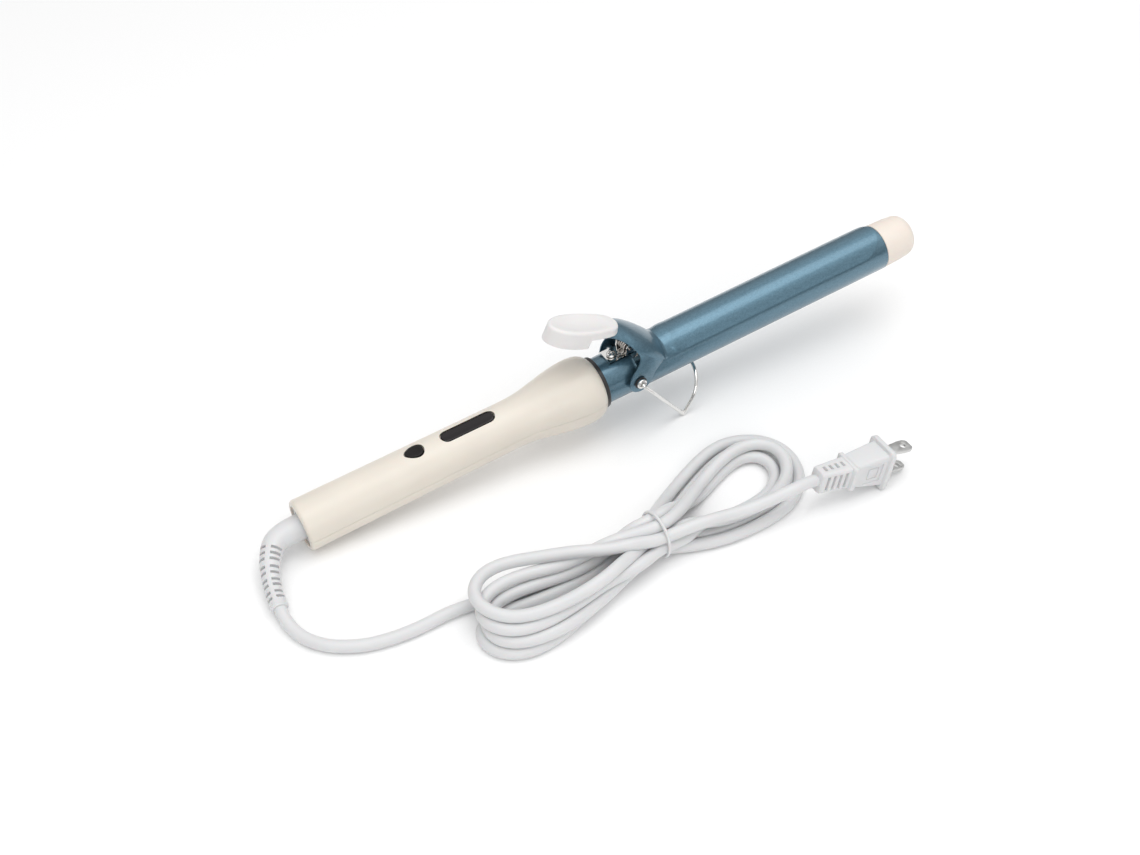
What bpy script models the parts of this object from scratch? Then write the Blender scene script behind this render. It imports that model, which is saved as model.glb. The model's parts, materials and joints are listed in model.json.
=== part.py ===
"""A clip-on curling iron, lying on its heel and its wire stand, with its cord tied in a hank.

Named sizes are in millimetres, and every mesh is written in metres, +Z up.

Two frames are used. The iron's own frame has X along the barrel, from just behind the handle,
Y to the left and Z up through the clip, and it is tipped nose up by the stand. The table's frame
has the same X start, with Z from the table top, and holds the cord.
The part's origin is on the table, below the middle of the iron.
"""

import math

import bmesh
import bpy
from mathutils import Matrix, Vector

MM = 0.001
GAP = 0.3

# The iron as a whole
IRON_TILT = math.radians(5.9)
IRON_END = 371.9
SEGMENTS = 48

# Handle
HANDLE_REAR_X = 4.7
HANDLE_REAR_R = 13.3
HANDLE_EDGE_R = 1.5
HANDLE_NECK_X = 118.0
HANDLE_FRONT_X = 170.3
HANDLE_WALL = 1.8
HANDLE_LIP_R = 13.9
HANDLE_STATIONS = (
    (6.2, 13.3), (118.0, 12.65), (124.0, 12.75), (131.0, 13.3), (140.0, 15.0),
    (149.0, 16.75), (156.0, 17.6), (161.5, 17.8), (166.0, 17.2), (168.7, 16.0), (170.3, 14.5),
)
HANDLE_SCREW_X = (30.0, 139.0)

# Controls, along the top of the handle
WINDOW_X, WINDOW_LENGTH, WINDOW_WIDTH = 98.6, 29.2, 6.8
BUTTON_X, BUTTON_LENGTH, BUTTON_WIDTH = 68.8, 9.6, 7.6
BOARD_X = (45.0, 134.0)
BOARD_HALF_WIDTH = 9.2
BOARD_Z = (3.4, 4.6)

# Barrel and what it holds
BARREL_R = 12.5
BARREL_WALL = 0.9
BARREL_X = (152.0, 350.2)
BLOCK_X = (215.0, 335.0)
BLOCK_R = BARREL_R - BARREL_WALL - GAP
TIP_R = 12.4
TIP_TAPER = 0.8
TIP_EDGE_R = 6.5

# Clip: one formed sheet with two ears, turning on two screws
PIVOT_X, PIVOT_Z = 189.4, 2.3
SHEET = 0.7
PLATE_R = BARREL_R + GAP + SHEET / 2
PLATE_HALF_ANGLE = math.radians(62.0)
PLATE_X = (208.5, 348.5)
TONGUE_LENGTH = 14.5
EAR_Y = (14.6, 15.4)
LOBE_R = 6.2
REST_SLOPE = math.radians(24.7)
REST_FRONT = (187.3, 34.9)
REST_LENGTH = 41.0
REST_HALF_WIDTH = 9.3
REST_DEPTH = 9.2
REST_STEP = 20.3
FRONT_DEPTH = 4.4
ROOF = 2.6
TONGUE_DEPTH = 3.0

# Saddle bracket over the barrel, and the spring on it
BRACKET_X = (178.5, 195.0)
BRACKET_HALF_WIDTH = 6.0
BRACKET_SCREW_X = 182.1
STRAP_X = (185.4, 193.4)
STEEL = 0.9
SADDLE_R = BARREL_R + GAP
PIN_X, PIN_Z, PIN_R = 190.6, 17.2, 0.8
COIL_R, SPRING_WIRE_R, COIL_TURNS = 2.3, 0.55, 4

# Stand: a wire bail on the same screws
WIRE_R = 1.05
LEG_LENGTH = 43.6
LEG_TOP_Y = 19.0
FOOT_Y = 16.5
ARCH_ANGLE = math.radians(54.2)

# Cord, in the table's frame
CORD_R = 3.1
BOOT_ROUTE = (
    (-3.5, -0.5, 12.3), (-9.8, -2.8, 11.4), (-15.0, -9.6, 9.8), (-18.6, -18.1, 7.9),
    (-20.9, -27.5, 6.3), (-22.1, -36.6, 5.2),
)
LEAD_ROUTE = (
    (-22.18, -37.2, 5.14), (-22.35, -39.0, 4.94), (-22.2, -44.5, 4.2), (-20.6, -52.0, 3.3),
    (-17.0, -59.4, 3.2), (-11.4, -65.7, 3.2), (-5.0, -70.2, 3.2), (3.6, -74.2, 3.2), (14.5, -76.7, 3.2),
    (25.3, -77.6, 3.2), (36.0, -77.3, 3.2), (46.7, -76.6, 3.2),
)
HANK_OUTLINE = (
    (47.4, -95.0), (48.5, -82.0), (57.0, -73.5), (74.0, -70.5), (96.0, -73.0), (122.0, -78.5),
    (149.5, -79.4), (170.0, -72.0), (190.0, -59.0), (208.0, -47.5), (224.0, -44.0), (238.0, -50.0),
    (246.0, -63.0), (246.5, -77.0), (241.0, -88.0), (232.0, -94.5), (220.0, -98.0), (213.2, -101.0),
    (213.0, -109.0), (206.0, -111.0), (190.0, -107.5), (170.0, -104.0), (149.5, -103.4),
    (130.0, -106.0), (108.0, -113.5), (86.0, -120.0), (66.0, -119.5), (53.0, -110.0),
)
HANK_Z = (2.6, 24.8)
TIE_X, TIE_Y, TIE_HALF_WIDTH, TIE_BAND = 149.5, -91.4, 12.4, 2.0
PLUG_FACE = (273.9, -106.4, 11.95)
PLUG_YAW, PLUG_DIP = math.radians(-1.0), math.radians(9.8)
PLUG_LENGTH = 41.5
BLADE_SPACING, BLADE_WIDTH, BLADE_THICKNESS, BLADE_LENGTH = 12.7, 6.35, 1.5, 16.5
WIDE_BLADE_WIDTH = 7.9
BLADE_ROOT = 6.0

PIVOT = Vector((PIVOT_X, 0.0, PIVOT_Z))


# ---------------------------------------------------------------- scene and materials

def clear_scene():
    for obj in list(bpy.data.objects):
        bpy.data.objects.remove(obj)


def finish(name, colour, roughness, metallic=0.0):
    material = bpy.data.materials.new(name)
    material.use_nodes = True
    shader = material.node_tree.nodes["Principled BSDF"]
    shader.inputs["Base Color"].default_value = (*colour, 1.0)
    shader.inputs["Roughness"].default_value = roughness
    shader.inputs["Metallic"].default_value = metallic
    return material


def add_empty(name, parent, location, tilt=0.0):
    empty = bpy.data.objects.new(name, None)
    bpy.context.scene.collection.objects.link(empty)
    empty.parent = parent
    empty.location = Vector(location) * MM
    empty.rotation_euler = (0.0, -tilt, 0.0)
    return empty


def add_part(name, bm, material, parent, origin=(0.0, 0.0, 0.0)):
    """Writes a bmesh in millimetres as an object in metres, with its origin moved to the given point."""
    bmesh.ops.translate(bm, vec=-Vector(origin), verts=bm.verts)
    bmesh.ops.scale(bm, vec=(MM, MM, MM), verts=bm.verts)
    bmesh.ops.recalc_face_normals(bm, faces=bm.faces)
    mesh = bpy.data.meshes.new(name)
    bm.to_mesh(mesh)
    bm.free()
    mesh.shade_smooth()
    mesh.set_sharp_from_angle(angle=math.radians(32.0))
    mesh.materials.append(material)
    obj = bpy.data.objects.new(name, mesh)
    bpy.context.scene.collection.objects.link(obj)
    obj.parent = parent
    return obj


def combine(target, tools, operation):
    """Joins tools to the target, or cuts them from it, with one Boolean each."""
    for tool in tools:
        tool.hide_render = True
        tool.display_type = "WIRE"
        modifier = target.modifiers.new(tool.name, "BOOLEAN")
        modifier.operation = operation
        modifier.solver = "EXACT"
        modifier.object = tool


# ---------------------------------------------------------------- shapes, in millimetres

def arc(centre, radius, start, end, steps):
    """Points on a circle from one angle to another, in degrees, both ends included."""
    points = []
    for i in range(steps + 1):
        angle = math.radians(start + (end - start) * i / steps)
        points.append((centre[0] + radius * math.cos(angle), centre[1] + radius * math.sin(angle)))
    return points


def turned(profile, segments=SEGMENTS, first=0.0, sweep=360.0):
    """Turns a closed profile of (x, radius) about X. Angles start at the top, in degrees."""
    bm = bmesh.new()
    whole = sweep == 360.0
    columns = []
    for i in range(segments if whole else segments + 1):
        angle = math.radians(first + sweep * i / segments)
        side, up = -math.sin(angle), math.cos(angle)
        columns.append([bm.verts.new((x, r * side, r * up)) for x, r in profile])
    count = len(profile)
    for i in range(segments):
        here, there = columns[i], columns[(i + 1) % len(columns)]
        for j in range(count):
            k = (j + 1) % count
            if profile[j][1] or profile[k][1]:
                bm.faces.new((here[j], here[k], there[k], there[j]))
    if not whole:
        bm.faces.new(columns[0])
        bm.faces.new(columns[-1])
    bmesh.ops.remove_doubles(bm, verts=bm.verts, dist=1e-5)
    return bm


def block(low, high, bevel=0.0):
    bm = bmesh.new()
    low, high = Vector(low), Vector(high)
    size = high - low
    matrix = Matrix.Translation((low + high) / 2) @ Matrix.Diagonal((*size, 1.0))
    bmesh.ops.create_cube(bm, size=1.0, matrix=matrix)
    if bevel:
        bmesh.ops.bevel(bm, geom=bm.edges[:], offset=bevel, segments=2, affect="EDGES")
    return bm


def rod(start, end, radius, segments=16):
    start, end = Vector(start), Vector(end)
    turn = (end - start).to_track_quat("Z", "Y").to_matrix().to_4x4()
    bm = bmesh.new()
    bmesh.ops.create_cone(
        bm, cap_ends=True, segments=segments, radius1=radius, radius2=radius,
        depth=(end - start).length, matrix=Matrix.Translation((start + end) / 2) @ turn,
    )
    return bm


def prism(outline, low, high, across):
    """Extrudes a closed outline along one axis, where across is that axis: 0, 1 or 2."""
    bm = bmesh.new()
    rows = []
    for level in (low, high):
        row = []
        for point in outline:
            place = list(point)
            place.insert(across, level)
            row.append(bm.verts.new(place))
        rows.append(row)
    count = len(outline)
    for i in range(count):
        j = (i + 1) % count
        bm.faces.new((rows[0][i], rows[0][j], rows[1][j], rows[1][i]))
    bm.faces.new(rows[0])
    bm.faces.new(rows[1])
    return bm


def loft(rings, closed_ends=True):
    """Joins rings with the same number of points, each ring closed on itself."""
    bm = bmesh.new()
    rows = [[bm.verts.new(point) for point in ring] for ring in rings]
    for here, there in zip(rows, rows[1:]):
        for i in range(len(here)):
            j = (i + 1) % len(here)
            bm.faces.new((here[i], here[j], there[j], there[i]))
    if closed_ends:
        bm.faces.new(rows[0])
        bm.faces.new(rows[-1])
    return bm


def interpolate(stations, x):
    """A smooth curve through stations of (x, value), level with its neighbours' slopes."""
    if x <= stations[0][0]:
        return stations[0][1]
    if x >= stations[-1][0]:
        return stations[-1][1]
    index = max(i for i, station in enumerate(stations) if station[0] <= x)
    x0, y0 = stations[index]
    x1, y1 = stations[index + 1]

    def slope(i):
        before, after = stations[max(i - 1, 0)], stations[min(i + 1, len(stations) - 1)]
        return (after[1] - before[1]) / (after[0] - before[0])

    span = x1 - x0
    t = (x - x0) / span
    first = (1 + 2 * t) * (1 - t) ** 2 * y0 + t * (1 - t) ** 2 * span * slope(index)
    second = t * t * (3 - 2 * t) * y1 - t * t * (1 - t) * span * slope(index + 1)
    return first + second


def smooth_path(points, spacing, closed=False):
    """Points along a smooth curve through the given ones, about a spacing apart."""
    points = [Vector(point) for point in points]
    count = len(points)
    path = []
    for i in range(count if closed else count - 1):
        if closed:
            p0, p1, p2, p3 = (points[(i + k) % count] for k in (-1, 0, 1, 2))
        else:
            p1, p2 = points[i], points[i + 1]
            p0 = points[i - 1] if i else p1 * 2 - p2
            p3 = points[i + 2] if i + 2 < count else p2 * 2 - p1
        steps = max(1, round((p2 - p1).length / spacing))
        for step in range(steps):
            t = step / steps
            path.append(
                0.5 * (2 * p1 + (p2 - p0) * t + (2 * p0 - 5 * p1 + 4 * p2 - p3) * t * t
                       + (3 * p1 - p0 - 3 * p2 + p3) * t * t * t)
            )
    if not closed:
        path.append(points[-1])
    return path


def rounded(points, radius, steps=3):
    """Replaces each inner corner of a run of straight lines by a short curve."""
    points = [Vector(point) for point in points]
    path = [points[0]]
    for before, corner, after in zip(points, points[1:], points[2:]):
        start = corner + (before - corner).normalized() * radius
        end = corner + (after - corner).normalized() * radius
        for i in range(steps + 1):
            t = i / steps
            path.append(start * (1 - t) ** 2 + corner * 2 * t * (1 - t) + end * t * t)
    path.append(points[-1])
    return path


def add_wire(name, points, radius, material, parent, origin=(0.0, 0.0, 0.0), roundness=1):
    """A round wire or cord along the points, with closed ends."""
    curve = bpy.data.curves.new(name, "CURVE")
    curve.dimensions = "3D"
    curve.bevel_depth = radius * MM
    curve.bevel_resolution = roundness
    curve.use_fill_caps = True
    spline = curve.splines.new("POLY")
    spline.points.add(len(points) - 1)
    for target, point in zip(spline.points, points):
        target.co = (*((Vector(point) - Vector(origin)) * MM), 1.0)
    curve.materials.append(material)
    obj = bpy.data.objects.new(name, curve)
    bpy.context.scene.collection.objects.link(obj)
    obj.parent = parent
    return obj


# ---------------------------------------------------------------- handle

def handle_radius(x):
    return interpolate(HANDLE_STATIONS, x)


def handle_profile():
    """Outer surface from rear to front, then the wall's inner surface back to the rear."""
    rear = HANDLE_REAR_X
    edge = arc((rear + HANDLE_EDGE_R, HANDLE_REAR_R - HANDLE_EDGE_R), HANDLE_EDGE_R, 180.0, 90.0, 4)
    flare = [(x, handle_radius(x)) for x in (HANDLE_NECK_X, 125, 131, 137, 143, 149, 154, 158, 162)]
    flare += [(x, handle_radius(x)) for x in (165.3, 167.6, 169.3, HANDLE_FRONT_X)]
    lip_back = HANDLE_FRONT_X - HANDLE_WALL
    inner = [(HANDLE_FRONT_X, HANDLE_LIP_R), (lip_back, HANDLE_LIP_R)]
    inner += [(x, handle_radius(x) - HANDLE_WALL) for x in (166.5, 162, 156, 149, 143, 137, 131)]
    inner += [(HANDLE_NECK_X, handle_radius(HANDLE_NECK_X) - HANDLE_WALL)]
    inner += [(rear + 5.2, HANDLE_REAR_R - HANDLE_WALL), (rear + 5.2, 8.8), (rear + 3.2, 8.8),
              (rear + 3.2, 11.1), (rear, 11.1)]
    return edge + flare + inner


def half_shell(name, upper, material, parent):
    """Half of the handle, split at the level of its axis, with half a gap on each side of the split."""
    clearance = math.degrees(GAP / 2 / HANDLE_REAR_R)
    first = -90.0 if upper else 90.0
    bm = turned(handle_profile(), SEGMENTS // 2, first + clearance, 180.0 - 2 * clearance)
    return add_part(name, bm, material, parent)


def window_half_width(x, grow=0.0):
    """Half width of the stadium-shaped window at a place along the handle."""
    radius = WINDOW_WIDTH / 2 + grow
    straight = WINDOW_LENGTH / 2 + grow - radius
    beyond = max(0.0, abs(x - WINDOW_X) - straight)
    return math.sqrt(max(radius * radius - beyond * beyond, 0.2))


def button_half_width(x, grow=0.0):
    """Half width of the egg-shaped button, blunt in front and drawn out behind."""
    half = BUTTON_LENGTH / 2 + grow
    t = max(-1.0, min(1.0, (x - BUTTON_X) / half))
    return (BUTTON_WIDTH / 2 + grow) * math.sqrt(max(1 - t * t, 0.004)) * (1 + 0.4 * t) / 1.07


def stations_across(centre, length, count):
    """Places from end to end, closer together near the ends."""
    return [centre - length / 2 * math.cos(math.pi * i / count) for i in range(count + 1)]


def outline_cutter(name, half_width, centre, length, low, high, parent):
    places = stations_across(centre, length + 2 * GAP, 16)
    side = [(x, half_width(x, GAP)) for x in places]
    outline = side + [(x, -y) for x, y in reversed(side)]
    return add_part(name, prism(outline, low, high, 2), None, parent)


def crowned_cap(half_width, centre, length, bottom, top):
    """A closed piece with the plan of half_width, a flat bottom and a top given by a function."""
    across = 6
    rings = []
    for x in stations_across(centre, length, 12):
        half = half_width(x)
        sides = [half * (2 * i / across - 1) for i in range(across + 1)]
        upper = [(x, y, top(x, y)) for y in sides]
        lower = [(x, y, bottom) for y in (half, -half)]
        rings.append(upper + lower)
    return loft(rings)


def build_handle(iron, cream, screw_steel):
    upper = half_shell("handle_upper_shell", True, cream, iron)
    lower = half_shell("handle_lower_shell", False, cream, iron)
    cutters = [
        outline_cutter("window_cutter", window_half_width, WINDOW_X, WINDOW_LENGTH, 6.0, 16.0, iron),
        outline_cutter("button_cutter", button_half_width, BUTTON_X, BUTTON_LENGTH, 6.0, 16.0, iron),
    ]
    upper_posts, lower_posts, bores, counterbores = [], [], [], []
    for i, x in enumerate(HANDLE_SCREW_X):
        wall = handle_radius(x) - HANDLE_WALL / 2
        upper_posts.append(add_part(f"upper_post_{i}", rod((x, 0, GAP), (x, 0, wall), 3.2), None, iron))
        lower_posts.append(add_part(f"lower_post_{i}", rod((x, 0, -GAP), (x, 0, -wall), 3.7), None, iron))
        bores.append(add_part(f"screw_bore_{i}", rod((x, 0, -20), (x, 0, 8.5), 1.5, 12), None, iron))
        counterbore = rod((x, 0, -20), (x, 0, -8.0), 2.9, 12)
        counterbores.append(add_part(f"counterbore_{i}", counterbore, None, iron))
        head_z = -8.0 - GAP
        profile = [(head_z - 1.6, 0), (head_z - 1.6, 1.6), (head_z - 1.0, 2.5), (head_z, 2.5),
                   (head_z, 1.2), (8.0, 1.2), (8.0, 0)]
        bm = turned(profile, 12)
        bmesh.ops.rotate(bm, verts=bm.verts, matrix=Matrix.Rotation(math.radians(-90), 3, "Y"))
        bmesh.ops.translate(bm, verts=bm.verts, vec=(x, 0, 0))
        add_part(("handle_screw_rear", "handle_screw_front")[i], bm, screw_steel, iron)
    combine(upper, upper_posts, "UNION")
    combine(upper, cutters + bores, "DIFFERENCE")
    combine(lower, lower_posts, "UNION")
    combine(lower, bores + counterbores, "DIFFERENCE")


def build_controls(iron, window_black, button_black, board_green, dark, metal, white):
    window_r = handle_radius(WINDOW_X) - 0.25

    def window_top(x, y):
        return math.sqrt(window_r ** 2 - y * y)

    add_part("display_window", crowned_cap(window_half_width, WINDOW_X, WINDOW_LENGTH, 11.0, window_top),
             window_black, iron)
    add_part("display_module", block((WINDOW_X - 13, -5, 5.0), (WINDOW_X + 13, 5, 9.6)), white, iron)

    def button_top(x, y):
        """Slightly proud of the handle, with a shallow round dish for the fingertip."""
        crown = math.sqrt((handle_radius(BUTTON_X) + 0.35) ** 2 - y * y)
        reach = math.hypot(x - BUTTON_X - 0.6, y) / 2.9
        return crown - 0.45 * max(0.0, 1 - reach * reach)

    button_axis = add_empty("button_axis", iron, (BUTTON_X, 0, 0))
    centre = (BUTTON_X, 0.0, 0.0)
    cap = crowned_cap(button_half_width, BUTTON_X, BUTTON_LENGTH, 11.2, button_top)
    button = add_part("control_button", cap, button_black, button_axis, centre)
    stem = add_part("button_stem", rod((BUTTON_X, 0, 9.4), (BUTTON_X, 0, 11.6), 1.4, 12), None,
                    button_axis, centre)
    combine(button, [stem], "UNION")
    add_part("switch_plunger", rod((BUTTON_X, 0, 8.3), (BUTTON_X, 0, 9.1), 1.2, 12), dark,
             button_axis, centre)
    switch = block((BUTTON_X - 3, -3, BOARD_Z[1] + GAP), (BUTTON_X + 3, 3, 7.4))
    add_part("tact_switch", switch, metal, iron)

    board = block((BOARD_X[0], -BOARD_HALF_WIDTH, BOARD_Z[0]), (BOARD_X[1], BOARD_HALF_WIDTH, BOARD_Z[1]))
    add_part("circuit_board", board, board_green, iron)
    below = BOARD_Z[0] - GAP
    add_part("heater_triac", block((118.0, -5.0, below - 4.4), (128.0, 5.0, below)), dark, iron)
    capacitor = rod((58.0, 2.0, below - 4.0), (70.0, 2.0, below - 4.0), 3.9, 16)
    add_part("smoothing_capacitor", capacitor, dark, iron)


# ---------------------------------------------------------------- barrel

def build_barrel(iron, teal, black, insulator, aluminium, ceramic, cream, metal, lead_grey):
    low, high = BARREL_X
    inner = BARREL_R - BARREL_WALL
    tube = add_part("barrel_tube", turned([(low, BARREL_R), (high, BARREL_R), (high, inner), (low, inner)]),
                    teal, iron)
    screw_bore = rod((BRACKET_SCREW_X, 0, 8), (BRACKET_SCREW_X, 0, 16), 1.6, 12)
    screw_hole = add_part("barrel_screw_hole", screw_bore, None, iron)
    combine(tube, [screw_hole], "DIFFERENCE")

    bush = [(149.0, 8.0), (158.0, 14.4)]
    profile = [(bush[0][0], bush[0][1]), (bush[0][0], bush[1][1]), (bush[1][0], bush[1][1]),
               (bush[1][0], SADDLE_R), (low - GAP, SADDLE_R), (low - GAP, bush[0][1])]
    add_part("barrel_bushing", turned(profile, 32), insulator, iron)
    sleeve_r, flange_r = HANDLE_LIP_R - GAP, 14.0
    front = HANDLE_FRONT_X + GAP
    profile = [(158.4, sleeve_r), (front, sleeve_r), (front, flange_r), (front + 1.2, flange_r),
               (front + 1.6, flange_r - 0.5), (front + 1.6, SADDLE_R), (158.4, SADDLE_R)]
    add_part("front_collar", turned(profile), black, iron)

    split = math.degrees(math.asin(1.8 / BLOCK_R))
    for name, start in (("heater_block_upper", split), ("heater_block_lower", 180.0 + split)):
        outline = arc((0.0, 0.0), BLOCK_R, start, start + 180.0 - 2 * split, 12)
        add_part(name, prism(outline, BLOCK_X[0], BLOCK_X[1], 0), aluminium, iron)
    add_part("ptc_heater", block((BLOCK_X[0] + 3, -8, -1.5), (BLOCK_X[1] - 3, 8, 1.5)), ceramic, iron)
    add_part("thermistor", rod((209.5, 0, 5.5), (213.5, 0, 5.5), 1.4, 12), black, iron)
    add_part("thermal_fuse", rod((196.0, 4.5, 0), (206.0, 4.5, 0), 1.6, 12), metal, iron)

    end, dome = IRON_END, TIP_EDGE_R
    profile = [(368.0, 0.0), (366.0, 7.0), (342.0, 9.6), (342.0, inner - GAP), (high + GAP, inner - GAP),
               (high + GAP, TIP_R), (end - dome - 4.0, TIP_R - 0.4)]
    profile += arc((end - dome, TIP_R - TIP_TAPER - dome), dome, 80.0, 12.0, 5) + [(end, 3.5), (end, 0.0)]
    add_part("cool_tip", turned(profile), cream, iron)

    board_front = BOARD_X[1] - 3.0
    below = BOARD_Z[0] - GAP - 0.8
    wires = {
        "heater_lead_live": ((board_front, 7.5, below), (139, 7.6, 1.5), (150, 5.5, 0.8), (175, 5, 0.5),
                             (195.6, 4.5, 0)),
        "heater_lead_fused": ((206.4, 4.5, 0), (211, 4.5, 0), (217.6, 4.5, 0)),
        "heater_lead_neutral": ((board_front, -6, below), (139, -6, 1.5), (150, -5, 1.0), (185, -5, 0.5),
                                (217.6, -4.5, 0)),
        "sensor_lead": ((board_front, 5.2, below), (139, 5.4, 3), (150, 3, 4.5), (180, 0, 5),
                        (209.1, 0, 5.5)),
    }
    for name, route in wires.items():
        add_wire(name, smooth_path(route, 12.0), 0.7, lead_grey, iron)


# ---------------------------------------------------------------- cord entry

def build_swivel(iron, table, white, brass, insulator, lead_grey, pvc):
    """The cord's collar turns in the rear of the handle, with two contact rings on its inner flange."""
    swivel = add_empty("swivel_axis", iron, (HANDLE_REAR_X, 0.0, 0.0))
    rear = add_empty("handle_rear", iron, (HANDLE_REAR_X, 0.0, 0.0))
    collar = [(0.4, 6.9), (0.4, 10.2), (0.8, 10.7), (2.9, 10.7), (2.9, 8.5), (5.5, 8.5), (5.5, 10.6),
              (8.0, 10.6), (8.0, 2.0), (6.9, 2.0), (6.9, 6.9)]
    add_part("swivel_collar", turned(collar, 32), white, swivel)
    for name, low, high in (("contact_ring_outer", 7.4, 9.2), ("contact_ring_inner", 3.4, 5.2)):
        add_part(name, turned([(8.3, low), (8.3, high), (8.9, high), (8.9, low)], 24), brass, swivel)
    add_part("brush_holder", turned([(11.4, 0.0), (11.4, 11.1), (14.4, 11.1), (14.4, 0.0)], 24),
             insulator, rear)
    for name, height in (("contact_brush_outer", 8.3), ("contact_brush_inner", 4.3)):
        add_part(name, rod((9.2, 0, height), (11.1, 0, height), 0.9, 10), brass, rear)
    for name, y in (("supply_wire_live", 4.0), ("supply_wire_neutral", -4.0)):
        route = ((14.8, y, 4.0), (20.0, y * 1.7, 3.0), (32.0, y * 1.7, 1.6), (44.0, y, BOARD_Z[0] - 1.1))
        add_wire(name, smooth_path(route, 10.0), 0.7, lead_grey, rear)

    # The moulded boot starts inside the collar and bends down to the table.
    start = (Vector((HANDLE_REAR_X + 6.5, 0, 0)), Vector((HANDLE_REAR_X, 0, 0)))
    place = Matrix.Rotation(-IRON_TILT, 4, "Y")
    place.translation = (0.0, 0.0, rear_height())
    route = [place @ point for point in start] + [Vector(point) for point in BOOT_ROUTE]
    path = smooth_path(route, 5.0)
    radii = ((0.0, 6.6), (14.0, 6.4), (22.0, 5.9), (30.0, 5.3), (38.0, 4.7), (52.0, 4.2), (68.0, 4.1))
    rings = []
    travelled = 0.0
    for i, point in enumerate(path):
        ahead = path[min(i + 1, len(path) - 1)] - path[max(i - 1, 0)]
        if i:
            travelled += (point - path[i - 1]).length
        radius = interpolate(radii, travelled)
        across = ahead.cross(Vector((0, 0, 1))).normalized()
        up = across.cross(ahead).normalized()
        ring = []
        for k in range(16):
            angle = math.tau * k / 16
            ring.append(point + radius * (across * math.cos(angle) + up * math.sin(angle)))
        rings.append(ring)
    add_part("strain_relief", loft(rings), pvc, table)


# ---------------------------------------------------------------- clip, bracket and spring

def rest_point(along, across, depth):
    """A point on the thumb rest: along it from its front end, across it, and down from its top."""
    forward = Vector((-math.cos(REST_SLOPE), 0.0, math.sin(REST_SLOPE)))
    down = Vector((-math.sin(REST_SLOPE), 0.0, -math.cos(REST_SLOPE)))
    start = Vector((REST_FRONT[0], 0.0, REST_FRONT[1]))
    return start + forward * along + Vector((0.0, across, 0.0)) + down * depth


def lever_section(x, crest, half_width, edge, half_angle, count=12):
    """One cross-section of the formed sheet: an arch from its left edge over the top to its right edge."""
    points = []
    for i in range(count + 1):
        angle = half_angle * (2 * i / count - 1)
        y = half_width * math.sin(angle) / math.sin(half_angle)
        drop = (crest - edge) * (1 - math.cos(angle)) / (1 - math.cos(half_angle))
        points.append(Vector((x, y, crest - drop)))
    return points


def clip_sections():
    """Cross-sections from the tongue's end, past the hinge and up to the lever's end in the thumb rest."""
    sections = []
    tongue_start = PLATE_X[1] - TONGUE_LENGTH
    places = [PLATE_X[1] - TONGUE_LENGTH * (1 - math.sin(math.radians(a))) for a in (86, 72, 55, 36, 16)]
    places += [tongue_start, 300.0, 255.0, PLATE_X[0] + 6.0, PLATE_X[0]]
    for x in places:
        t = max(0.0, (x - tongue_start) / TONGUE_LENGTH)
        angle = PLATE_HALF_ANGLE * math.sqrt(max(0.0, 1 - t * t))
        width, edge = PLATE_R * math.sin(angle), PLATE_R * math.cos(angle)
        sections.append(lever_section(x, PLATE_R, width, edge, angle))
    bend = (  # place, crest, half width, edge height, half angle in degrees
        (207.0, 14.6, 12.4, 6.6, 66), (204.5, 17.2, 14.0, 8.8, 74), (199.5, 22.0, 15.0, 13.2, 82),
        (194.0, 26.8, 15.0, 18.4, 82), (190.0, 29.8, 13.4, 23.0, 74), (187.0, 31.6, 11.0, 26.4, 62),
        (183.0, 33.5, 8.6, 30.1, 52), (178.0, 35.7, 7.2, 33.4, 46),
    )
    for x, crest, width, edge, angle in bend:
        sections.append(lever_section(x, crest, width, edge, math.radians(angle)))
    for along, width in ((19.0, 6.6), (26.0, 6.2), (29.0, 5.4)):
        top = rest_point(along, 0.0, TONGUE_DEPTH + SHEET / 2)
        sections.append(lever_section(top.x, top.z, width, top.z - 2.1, math.radians(44)))
    return sections


def ear_outline():
    """Side view of an ear: a round lobe on the pivot, drawn up into the lever's side."""
    lobe = arc((PIVOT_X, PIVOT_Z), LOBE_R, 175.0, 342.0, 9)
    front = [(197.0, 2.2), (199.4, 6.0), (203.2, 9.6)]
    top = [(200.0, 13.6), (195.4, 18.4), (191.6, 22.6)]
    rear = [(189.4, 21.6), (189.8, 16.8), (187.0, 11.4), (184.2, 6.8)]
    return lobe + front + top + rear


def sheet_solid(sections, thickness):
    """A closed sheet of even thickness about a grid of points."""
    rows, columns = len(sections), len(sections[0])
    normals = []
    for i in range(rows):
        for j in range(columns):
            along = sections[max(i - 1, 0)][j] - sections[min(i + 1, rows - 1)][j]
            across = sections[i][min(j + 1, columns - 1)] - sections[i][max(j - 1, 0)]
            normals.append(along.cross(across).normalized())
    bm = bmesh.new()
    skins = []
    for side in (0.5, -0.5):
        grid = []
        for i in range(rows):
            grid.append([
                bm.verts.new(sections[i][j] + normals[i * columns + j] * side * thickness)
                for j in range(columns)
            ])
        skins.append(grid)
    outer, inner = skins
    for i in range(rows - 1):
        for j in range(columns - 1):
            bm.faces.new((outer[i][j], outer[i][j + 1], outer[i + 1][j + 1], outer[i + 1][j]))
            bm.faces.new((inner[i][j], inner[i + 1][j], inner[i + 1][j + 1], inner[i][j + 1]))
        for j in (0, columns - 1):
            bm.faces.new((outer[i][j], outer[i + 1][j], inner[i + 1][j], inner[i][j]))
    for i in (0, rows - 1):
        for j in range(columns - 1):
            bm.faces.new((outer[i][j], outer[i][j + 1], inner[i][j + 1], inner[i][j]))
    return bm


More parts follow.
